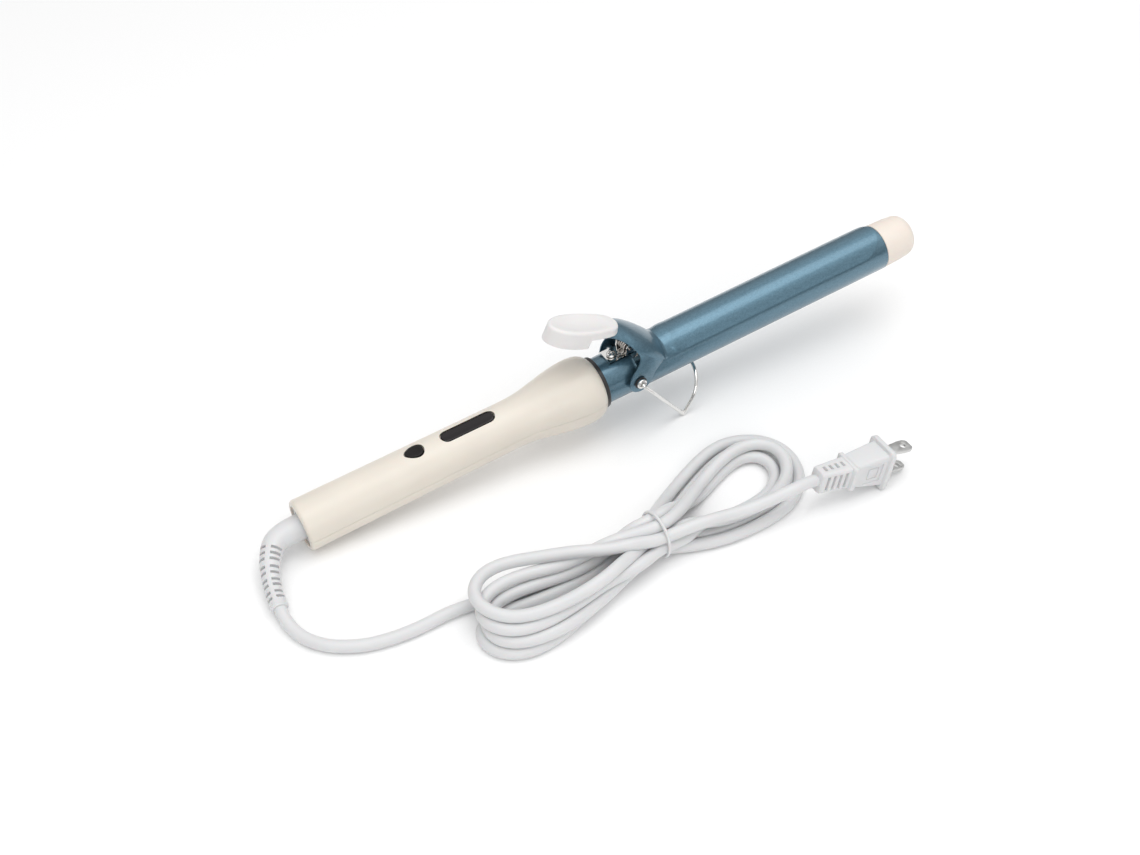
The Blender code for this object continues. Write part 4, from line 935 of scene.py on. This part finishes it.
def build_bracket(materials, iron):
    """A pressed steel saddle over the barrel: a flat plate with turned-down sides, two cheeks for the
    spring's pin, and a strap down each side to a boss for the pivot screw."""
    rear, front = BRACKET_X
    strap_rear = front - 4.2
    base = BARREL_R + 0.3
    top = base + 0.9
    parts = [block((rear, -5.0, base + 0.1), (front, 5.0, top + 0.1))]
    outline = [(strap_rear, base), (strap_rear, top), (front, top), (front, base)]
    strap = turned(outline, 98, -98.0, 196.0)
    cheek = arc((PIN_X, PIN_Z), 2.0, 0.0, 180.0, 18)
    cheek += [(PIN_X - 2.8, base + 0.5), (PIN_X + 2.8, base + 0.5)]
    bores = [rod((PIN_X, -7, PIN_Z), (PIN_X, 7, PIN_Z), 0.95),
             rod((BRACKET_SCREW_X, 0, 10), (BRACKET_SCREW_X, 0, 18), 1.6)]
    for sign in (-1, 1):
        outline = ((5.0, top + 0.1), (6.9, 11.7), (6.2, 11.3), (4.4, top - 0.5))
        parts.append(prism([(sign * y, z) for y, z in outline], rear, front, 0))
        parts.append(prism(cheek, sign * 4.7 - 0.4, sign * 4.7 + 0.4, 1))
        parts.append(rod((PIVOT_X, sign * 13.0, PIVOT_Z), (PIVOT_X, sign * 14.3, PIVOT_Z), 3.4))
        bores.append(rod((PIVOT_X, sign * 10, PIVOT_Z), (PIVOT_X, sign * 20, PIVOT_Z), 1.6))
    saddle = soften(combine(combine(strap, parts, "UNION"), bores), 0.1, 40.0)
    piece("saddle", saddle, materials, "chrome", "root", iron, "saddle_bracket", sharp=40.0)


def pan_head(shank_end, shank_r, base, head_r, height):
    """A pan-head screw along X, from its shank's end to its domed head."""
    profile = [(shank_end, 0.0), (shank_end, shank_r), (base, shank_r), (base, head_r - 0.1),
               (base + 0.1, head_r)]
    for i in range(9):
        angle = math.radians(10.0 * i)
        profile.append((base + height * (0.4 + 0.6 * math.sin(angle)), head_r * math.cos(angle) ** 0.6))
    profile.append((base + height, 0.0))
    return turned(profile, 48)


def cross(start, end, reach, half_width):
    """The two cutters for a cross in the head of a screw along X."""
    return [block((start, -reach, -half_width), (end, reach, half_width)),
            block((start, -half_width, -reach), (end, half_width, reach))]


def build_screws(materials, iron):
    """The bracket's cross-head screw, and the two pivot screws with a washer under each head. The
    pivot screws have a socket in the head for the stand."""
    screw = pan_head(shank_end=10.8, shank_r=1.3, base=14.1, head_r=2.5, height=1.5)
    screw = soften(combine(screw, cross(start=14.9, end=17.0, reach=1.5, half_width=0.26)), 0.05, 50.0)
    upright = Matrix.Rotation(math.radians(-90), 4, "Y")
    screw.transform(Matrix.Translation((BRACKET_SCREW_X, 0, 0)) @ upright)
    piece("saddle_screw", screw, materials, "chrome", "root", iron, "bracket_screw", sharp=40.0)
    outline = [(15.65, 1.7), (15.65, 3.3), (15.75, 3.4), (15.95, 3.4), (16.05, 3.3), (16.05, 1.7)]
    for name, sign in (("near", -1), ("far", 1)):
        turn = Matrix.Translation((PIVOT_X, 0, PIVOT_Z))
        turn = turn @ Matrix.Rotation(math.radians(90 * sign), 4, "Z")
        washer = turned(outline, 64)
        washer.transform(turn)
        piece(f"washer_{name}", washer, materials, "black_plastic", "root", iron, f"pivot_washer_{name}")
        cuts = cross(start=17.25, end=19.0, reach=2.1, half_width=0.3)
        cuts.append(rod((16.6, 0, 0), (19.0, 0, 0), 1.3))
        screw = pan_head(shank_end=13.3, shank_r=1.3, base=16.3, head_r=2.8, height=1.6)
        screw = soften(combine(screw, cuts), 0.05, 50.0)
        screw.transform(turn)
        piece(f"screw_{name}", screw, materials, "chrome", "root", iron, f"pivot_screw_{name}",
              sharp=40.0)


def build_spring(materials, iron):
    """A torsion spring round its pin: one leg on the bracket, the other up under the lever."""
    turns = 40
    pitch = 2 * SPRING_WIRE_R + 0.35
    coil = []
    for i in range(COIL_TURNS * turns + 1):
        angle = math.tau * i / turns
        y = pitch * (i / turns - COIL_TURNS / 2)
        coil.append((PIN_X - COIL_R * math.cos(angle), y, PIN_Z + COIL_R * math.sin(angle)))
    x, y, _ = coil[0]
    foot = [(x - 4.5, y, 14.7), (x - 1.6, y, 14.75), (x - 0.4, y, 15.6), coil[0]]
    x, y, z = coil[-1]
    arm = [coil[-1], (x - 0.4, y, z + 3.5), (x - 1.4, y, z + 9.4)]
    path = rounded(foot, 0.6)[:-1] + coil + rounded(arm, 0.8)[1:]
    spring = piece("spring_coil", tube(path, SPRING_WIRE_R, 14), materials, "spring_steel", None, iron,
                   "torsion_spring")
    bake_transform(spring)


def build_stand(materials, iron, pivot_height, tilt):
    """A wire bail: its feet stand on the table, and its arch bears on the barrel from below."""
    bend = 1.4
    bend_rise = 0.41 * bend
    steep = math.asin((pivot_height - WIRE_R + bend_rise) / LEG_LENGTH) + tilt
    foot = Vector((PIVOT_X + LEG_LENGTH * math.cos(steep), 0, PIVOT_Z - LEG_LENGTH * math.sin(steep)))
    rise = (-BARREL_R - 0.3 - WIRE_R - foot.z) / math.sin(ARCH_ANGLE)
    arch_way = Vector((math.cos(ARCH_ANGLE), 0.0, math.sin(ARCH_ANGLE)))
    straight = rise - FOOT_Y
    half = [Vector((PIVOT_X, -(LEG_TOP_Y - 1.9), PIVOT_Z)), Vector((PIVOT_X, -LEG_TOP_Y, PIVOT_Z)),
            foot + Vector((0, -FOOT_Y, 0))]
    for y, up in arc((0.0, straight), FOOT_Y, 180.0, 94.0, 26):
        half.append(foot + arch_way * up + Vector((0, y, 0)))
    mirrored = [Vector((p.x, -p.y, p.z)) for p in reversed(half)]
    corners = half + mirrored
    path = rounded(corners[:4], bend)[:-1] + corners[3:-3] + rounded(corners[-4:], bend)[1:]
    piece("stand_bail", tube(path, WIRE_R, 24), materials, "chrome", "stand", iron, "wire_stand")


# -------------------- cord entry

def along_path(path):
    """How far along a path each of its points is."""
    travelled = [0.0]
    for here, there in zip(path, path[1:]):
        travelled.append(travelled[-1] + (there - here).length)
    return travelled


def build_swivel_ring(materials, iron):
    ring_r, edge, bore_r = REAR_BORE_R - 0.35, 0.5, 6.9
    outline = [(1.0, bore_r), (1.0, ring_r - edge), (1.15, ring_r - 0.15), (1.0 + edge, ring_r),
               (2.9, ring_r), (2.9, 8.5), (5.5, 8.5), (5.5, 10.6), (8.0, 10.6), (8.0, 2.0), (6.9, 2.0),
               (6.9, bore_r)]
    ring = turned([(HANDLE_REAR_X + x, r) for x, r in outline], 96)
    # Its white is greyed as painted shade for the recess it sits in
    piece("swivel_ring", ring, materials, "white_plastic", "swivel", iron, "swivel_collar")


def boot_slots(path, radii, travelled):
    """The cutters for the boot's rows of slots, four round the boot in each row."""
    slots = []
    rows, pitch, end_gap, width, depth = 9, 3.5, 5.0, 1.5, 0.35
    half_angle = math.radians(31.0)
    frames = frames_along(path)
    for row in range(rows):
        place = travelled[-1] - end_gap - pitch * row
        i = min(range(len(path)), key=lambda k: abs(travelled[k] - place))
        ahead, across, up = frames[i]
        reach = radii[i] * math.sin(half_angle)
        for quarter in range(4):
            angle = math.radians(45.0 + 90.0 * quarter)
            out = across * math.cos(angle) + up * math.sin(angle)
            slot = block((-width / 2, -reach, -0.75), (width / 2, reach, 3.0))
            turn = Matrix((ahead, out.cross(ahead), out)).transposed().to_4x4()
            turn.translation = path[i] + out * (radii[i] * math.cos(half_angle) - depth)
            slot.transform(turn)
            slots.append(slot)
    return slots


def build_boot(materials, iron, table):
    """The strain relief: a tapered, slotted tube round the cord, with a small lip at its end."""
    to_table = table.inverted() @ iron
    start = [place_of(to_table, (HANDLE_REAR_X + x, 0, 0)) / MM for x in (6.5, 0.0)]
    path = smooth_path(start + [Vector(point) for point in BOOT_ROUTE], 1.0)
    travelled = along_path(path)
    radii = []
    for reach in travelled:
        left = travelled[-1] - reach
        lip = 0.3 * math.exp(-((left - 1.2) / 1.0) ** 2) - 0.5 * math.exp(-(left / 0.4) ** 2)
        radii.append(interpolate(BOOT_RADII, reach) + lip)
    boot = combine(tube(path, radii, 48), [joined(boot_slots(path, radii, travelled))])
    piece("cord_boot", boot, materials, "pvc", "swivel", table, "strain_relief")


# -------------------- cord, hank and tie

def plug_point(along, across, up):
    """A point on the plug: along its axis from its rear end, to its left and up. Its nose dips."""
    turn = Matrix.Rotation(PLUG_YAW, 3, "Z") @ Matrix.Rotation(PLUG_DIP, 3, "Y")
    return Vector(PLUG_FACE) + turn @ Vector((along - PLUG_LENGTH, across, up))


def cord_route():
    """The cord's rough route: the lead, then loops right and left of the tie by turns, then the plug."""
    route = [Vector(point) for point in LEAD_ROUTE]
    for i, angle in enumerate(TIE_PLACES):
        reach = 0.0 if angle is None else STRAND_RING_R
        angle = math.radians(angle or 0.0)
        route.append(Vector((TIE_X, TIE_Y + reach * math.cos(angle), TIE_Z + reach * math.sin(angle))))
        if i < len(HANK_LOOPS):
            route += [Vector(point) for point in HANK_LOOPS[i]]
    route += [Vector(point) for point in PLUG_RUN]
    return route + [plug_point(-6.0, 0, 0), plug_point(0.3, 0, 0)]


def evenly(path, spacing):
    """The same line with points an even distance apart."""
    points = np.array([tuple(point) for point in path])
    steps = np.linalg.norm(np.diff(points, axis=0), axis=1)
    travelled = np.concatenate([[0.0], np.cumsum(steps)])
    wanted = np.linspace(0.0, travelled[-1], int(travelled[-1] / spacing) + 1)
    return np.stack([np.interp(wanted, travelled, points[:, k]) for k in range(3)], axis=1)


def settle(points, spacing):
    """Lets the strands push each other apart and down on the table, inside the tie and near where they
    were laid. The lead and the plug's end stay in place. The last steps only smooth the line."""
    lead_end, plug_end, own_reach, tie_reach = 44.0, 24.0, 14.0, 2.0
    push_share, longest_push, home_pull, smoothing = 0.3, 0.8, 0.03, 0.15
    tie_r = STRAND_RING_R + 0.2
    home = points.copy()
    count = len(points)
    order = np.arange(count)
    neighbours = np.abs(order[:, None] - order[None, :]) < round(own_reach / spacing)
    held = (home[:, 0] < lead_end) & (order < count / 3)
    held |= order > count - round(plug_end / spacing)
    in_tie = np.abs(home[:, 0] - TIE_X) < tie_reach
    for step in range(RELAX_STEPS + CALM_STEPS):
        gap = points[:, None, :] - points[None, :, :]
        distance = np.linalg.norm(gap, axis=2) + 1e-9
        overlap = np.maximum(0.0, 2 * CORD_R - distance)
        overlap[neighbours] = 0.0
        push = (gap / distance[:, :, None] * overlap[:, :, None] * push_share).sum(axis=1)
        size = np.linalg.norm(push, axis=1, keepdims=True)
        push *= np.minimum(1.0, longest_push / np.maximum(size, 1e-9))
        if step < RELAX_STEPS:
            points = points + push + home_pull * (home - points)
        points[1:-1] += smoothing * ((points[:-2] + points[2:]) / 2 - points[1:-1])
        points[:, 2] = np.maximum(points[:, 2], CORD_R + 0.05)
        out = points[:, 1:] - (TIE_Y, TIE_Z)
        reach = np.linalg.norm(out, axis=1)
        outside = in_tie & (reach > tie_r)
        points[outside, 1:] -= out[outside] * (1 - tie_r / reach[outside])[:, None]
        points[held] = home[held]
    return points


def build_cord(materials, table):
    spacing = 3.0
    rough = evenly(smooth_path(cord_route(), 2.0), spacing)
    settled = settle(rough, spacing)
    path = smooth_path(settled[::2].tolist() + settled[-1:].tolist(), 1.6)
    cord = piece("cord", tube(path, CORD_R, 20), materials, "pvc", None, table,
                 "cord_lead", "cord_hank", "cord_plug_run")
    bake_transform(cord)
    return cord, [place_of(table, point) for point in path]


def build_tie(materials, table):
    """A bent wire tie, its ends side by side at the bottom."""
    ring_r = STRAND_RING_R + CORD_R + TIE_WIRE_R
    steps, lean = 96, 0.9
    path = []
    for i, (y, z) in enumerate(arc((TIE_Y, TIE_Z), ring_r, -84.0, 264.0, steps)):
        path.append((TIE_X + lean * (i / steps - 0.5), y, z))
    tie = soften(tube(path, TIE_WIRE_R, 16), 0.3, 60.0)
    return piece("hank_tie", tie, materials, "pvc", "root", table, "cord_tie")


# -------------------- plug

def rounded_rectangle(along, half_width, half_height, corner):
    """A rounded rectangle across the plug's axis."""
    ring = []
    for quarter, (sy, sz) in enumerate(((1, 1), (-1, 1), (-1, -1), (1, -1))):
        centre = (sy * (half_width - corner), sz * (half_height - corner))
        for y, z in arc(centre, corner, 90.0 * quarter, 90.0 * quarter + 90.0, 5):
            ring.append((along, y, z))
    return ring


def plug_cutters():
    """The slots round the plug's relief, and on each side a plain recess with a fine square in it."""
    slots, recesses = [], []
    for i in range(4):
        along = 4.0 + 3.6 * i
        half_width, half_height = 4.4 + 1.1 * along / 17.6, 6.2 + 0.3 * along / 17.6
        rear, front = along - 0.85, along + 0.85
        for sign in (-1, 1):
            deep, high = sign * (half_width - 1.9), half_height - 1.9
            slots.append(block((rear, deep, -high), (front, sign * (half_width + 2), high)))
            deep = sign * (half_height - 1.9)
            slots.append(block((rear, -1.7, deep), (front, 1.7, sign * (half_height + 2))))
    for side in (-1, 1):
        recesses.append(block((26.0, side * 6.1, -5.6), (36.6, side * 9.0, 5.6)))
        for rear, front, low, high in ((28.2, 28.6, -3.4, 3.4), (34.2, 34.6, -3.4, 3.4),
                                       (28.2, 34.6, -3.4, -3.0), (28.2, 34.6, 3.0, 3.4)):
            recesses.append(block((rear, side * 5.75, low), (front, side * 9.0, high)))
    return slots, recesses


def plug_blade(z, front_half):
    """A flat blade with a round hole and chamfered corners, a little wider in front if polarised."""
    start, end, rear_half = PLUG_LENGTH - 6.0, PLUG_LENGTH + 16.5, 3.175
    side = [(start, rear_half), (PLUG_LENGTH + 5.0, rear_half), (end - 6.0, front_half),
            (end - 2.0, front_half), (end - 0.6, front_half - 0.9), (end, front_half - 1.8)]
    blade = prism(side + [(x, -y) for x, y in reversed(side)], z - 0.75, z + 0.75, 2)
    return soften(combine(blade, [rod((end - 4.2, 0, z - 2), (end - 4.2, 0, z + 2), 1.6)]), 0.15, 30.0)


def build_plug(materials, table):
    """A moulded two-blade plug: a slotted relief, a thin collar, a tapered body and a square flange."""
    sections = (  # place along, half width, half height, corner
        (0.0, 3.8, 5.6, 1.5), (0.3, 4.2, 6.0, 1.6), (0.9, 4.4, 6.2, 1.6), (17.6, 5.5, 6.5, 1.6),
        (17.7, 7.2, 6.8, 1.2), (18.1, 7.6, 7.1, 1.2), (19.8, 7.6, 7.1, 1.2), (20.2, 7.2, 6.8, 1.2),
        (20.3, 6.1, 6.7, 1.4), (38.2, 7.0, 9.6, 1.6), (38.6, 7.3, 9.9, 1.8), (38.7, 8.7, 11.5, 2.6),
        (39.1, 9.1, 11.9, 2.8), (41.1, 9.1, 11.9, 2.8), (PLUG_LENGTH, 8.7, 11.5, 2.6),
    )
    body = loft([rounded_rectangle(*section) for section in sections])
    slots, recesses = plug_cutters()
    sockets = [block((PLUG_LENGTH - 5.5, -3.6, z - 1.05), (PLUG_LENGTH + 2, 3.6, z + 1.05))
               for z in (-BLADE_Z, BLADE_Z)]
    body = soften(combine(combine(body, [joined(slots)]), recesses + sockets), 0.22, 40.0)
    turn = Matrix.Rotation(PLUG_YAW, 4, "Z") @ Matrix.Rotation(PLUG_DIP, 4, "Y")
    place = table @ Matrix.Translation(Vector(PLUG_FACE) * MM) @ turn
    place = place @ Matrix.Translation((-PLUG_LENGTH * MM, 0, 0))
    pieces = [piece("plug_moulding", body, materials, "pvc", "root", place, "plug_body", sharp=40.0)]
    for name, z, front_half in (("upper", BLADE_Z, 3.95), ("lower", -BLADE_Z, 3.175)):
        blade = plug_blade(z, front_half)
        pieces.append(piece(f"blade_{name}", blade, materials, "nickel", "root", place,
                            f"plug_blade_{name}", sharp=40.0))
    return pieces


# -------------------- carried-over CAD parts

def finish_cad_parts(frame, materials):
    """Gives every CAD part that no piece stands for its slot's material."""
    kept = {
        "spring_steel": ("spring_pin",),
        "zinc": ("handle_screw_rear", "handle_screw_front", "tact_switch", "thermal_fuse"),
        "white_plastic": ("display_module",),
        "component": ("switch_plunger", "heater_triac", "smoothing_capacitor"),
        "board": ("circuit_board",),
        "phenolic": ("barrel_bushing", "brush_holder"),
        "brass": ("contact_ring_outer", "contact_ring_inner", "contact_brush_outer",
                  "contact_brush_inner"),
        "aluminium": ("heater_block_upper", "heater_block_lower"),
        "ceramic": ("ptc_heater",),
        "black_plastic": ("thermistor",),
        "silicone": ("supply_wire_live", "supply_wire_neutral", "heater_lead_live", "heater_lead_fused",
                     "heater_lead_neutral", "sensor_lead"),
    }
    for slot, names in kept.items():
        for name in names:
            part = frame["nodes"][name]
            part.data.materials.clear()
            part.data.materials.append(materials[slot])


# -------------------- studio

def add_softbox(name, place, size, power):
    """A rectangular light that faces the middle of the table."""
    light = bpy.data.lights.new(name, "AREA")
    light.shape = "RECTANGLE"
    light.size, light.size_y = size
    light.energy = power
    obj = add_object(name, light)
    obj.location = place
    obj.rotation_euler = (-Vector(place)).to_track_quat("-Z", "Y").to_euler()


def build_sky(scene):
    """An even white surround, brighter towards the top."""
    world = bpy.data.worlds.new("studio")
    world.use_nodes = True
    tree = world.node_tree
    coords = add_node(tree, "TexCoord")
    height = add_node(tree, "SeparateXYZ", Vector=coords.outputs["Generated"])
    glow = spread(tree, height.outputs["Z"], 0.22, 0.95, 0.05, 0.75)
    set_inputs(tree, tree.nodes["Background"], Color=(1.0, 1.0, 1.0, 1.0), Strength=glow)
    scene.world = world


def build_studio():
    scene = bpy.context.scene
    scene.view_settings.view_transform = "Standard"
    build_sky(scene)
    add_softbox("softbox_above", (0.05, -0.15, 1.25), (1.5, 0.8), 6.0)
    add_softbox("softbox_front", (-0.5, -1.3, 0.75), (1.2, 0.5), 4.5)

    sheet = bmesh.new()
    bmesh.ops.create_grid(sheet, x_segments=1, y_segments=1, size=4.0)
    floor = add_object("floor", as_mesh(sheet, "floor"))
    floor.data.materials.append(floor_paper("floor_paper"))

    camera = bpy.data.cameras.new("camera")
    camera.lens = 50.0
    camera.sensor_width = 36.0
    view = add_object("camera", camera)
    view.location = CAMERA_PLACE
    view.rotation_euler = CAMERA_TURN
    scene.camera = view


def iron_frame(swivel):
    """The iron's own frame, and how far it is tipped nose up. Its axis is the cord swivel's, and it
    starts just behind the handle."""
    along = -Vector(swivel["axis"]).normalized()
    left = Vector((0.0, 1.0, 0.0))
    iron = Matrix((along, left, along.cross(left))).transposed().to_4x4()
    iron.translation = Vector(swivel["pos_m"]) - along * HANDLE_REAR_X * MM
    return iron, math.asin(along.z)


def main():
    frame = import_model()
    joints = {joint["name"]: joint for joint in frame["joints"]}
    iron, tilt = iron_frame(joints["cord_swivel"])
    table = Matrix.Translation((iron.translation.x, 0.0, 0.0))
    pivot_height = joints["stand_pivot"]["pos_m"][2] / MM

    build_studio()
    materials = make_materials()
    cord, cord_path = build_cord(materials, table)
    tie = build_tie(materials, table)
    plug = build_plug(materials, table)
    build_bracket(materials, iron)
    build_screws(materials, iron)
    build_handle(materials, iron)
    build_barrel(materials, iron)
    build_clip(materials, iron)
    build_spring(materials, iron)
    build_stand(materials, iron, pivot_height, tilt)
    build_swivel_ring(materials, iron)
    build_boot(materials, iron, table)
    finish_cad_parts(frame, materials)


main()
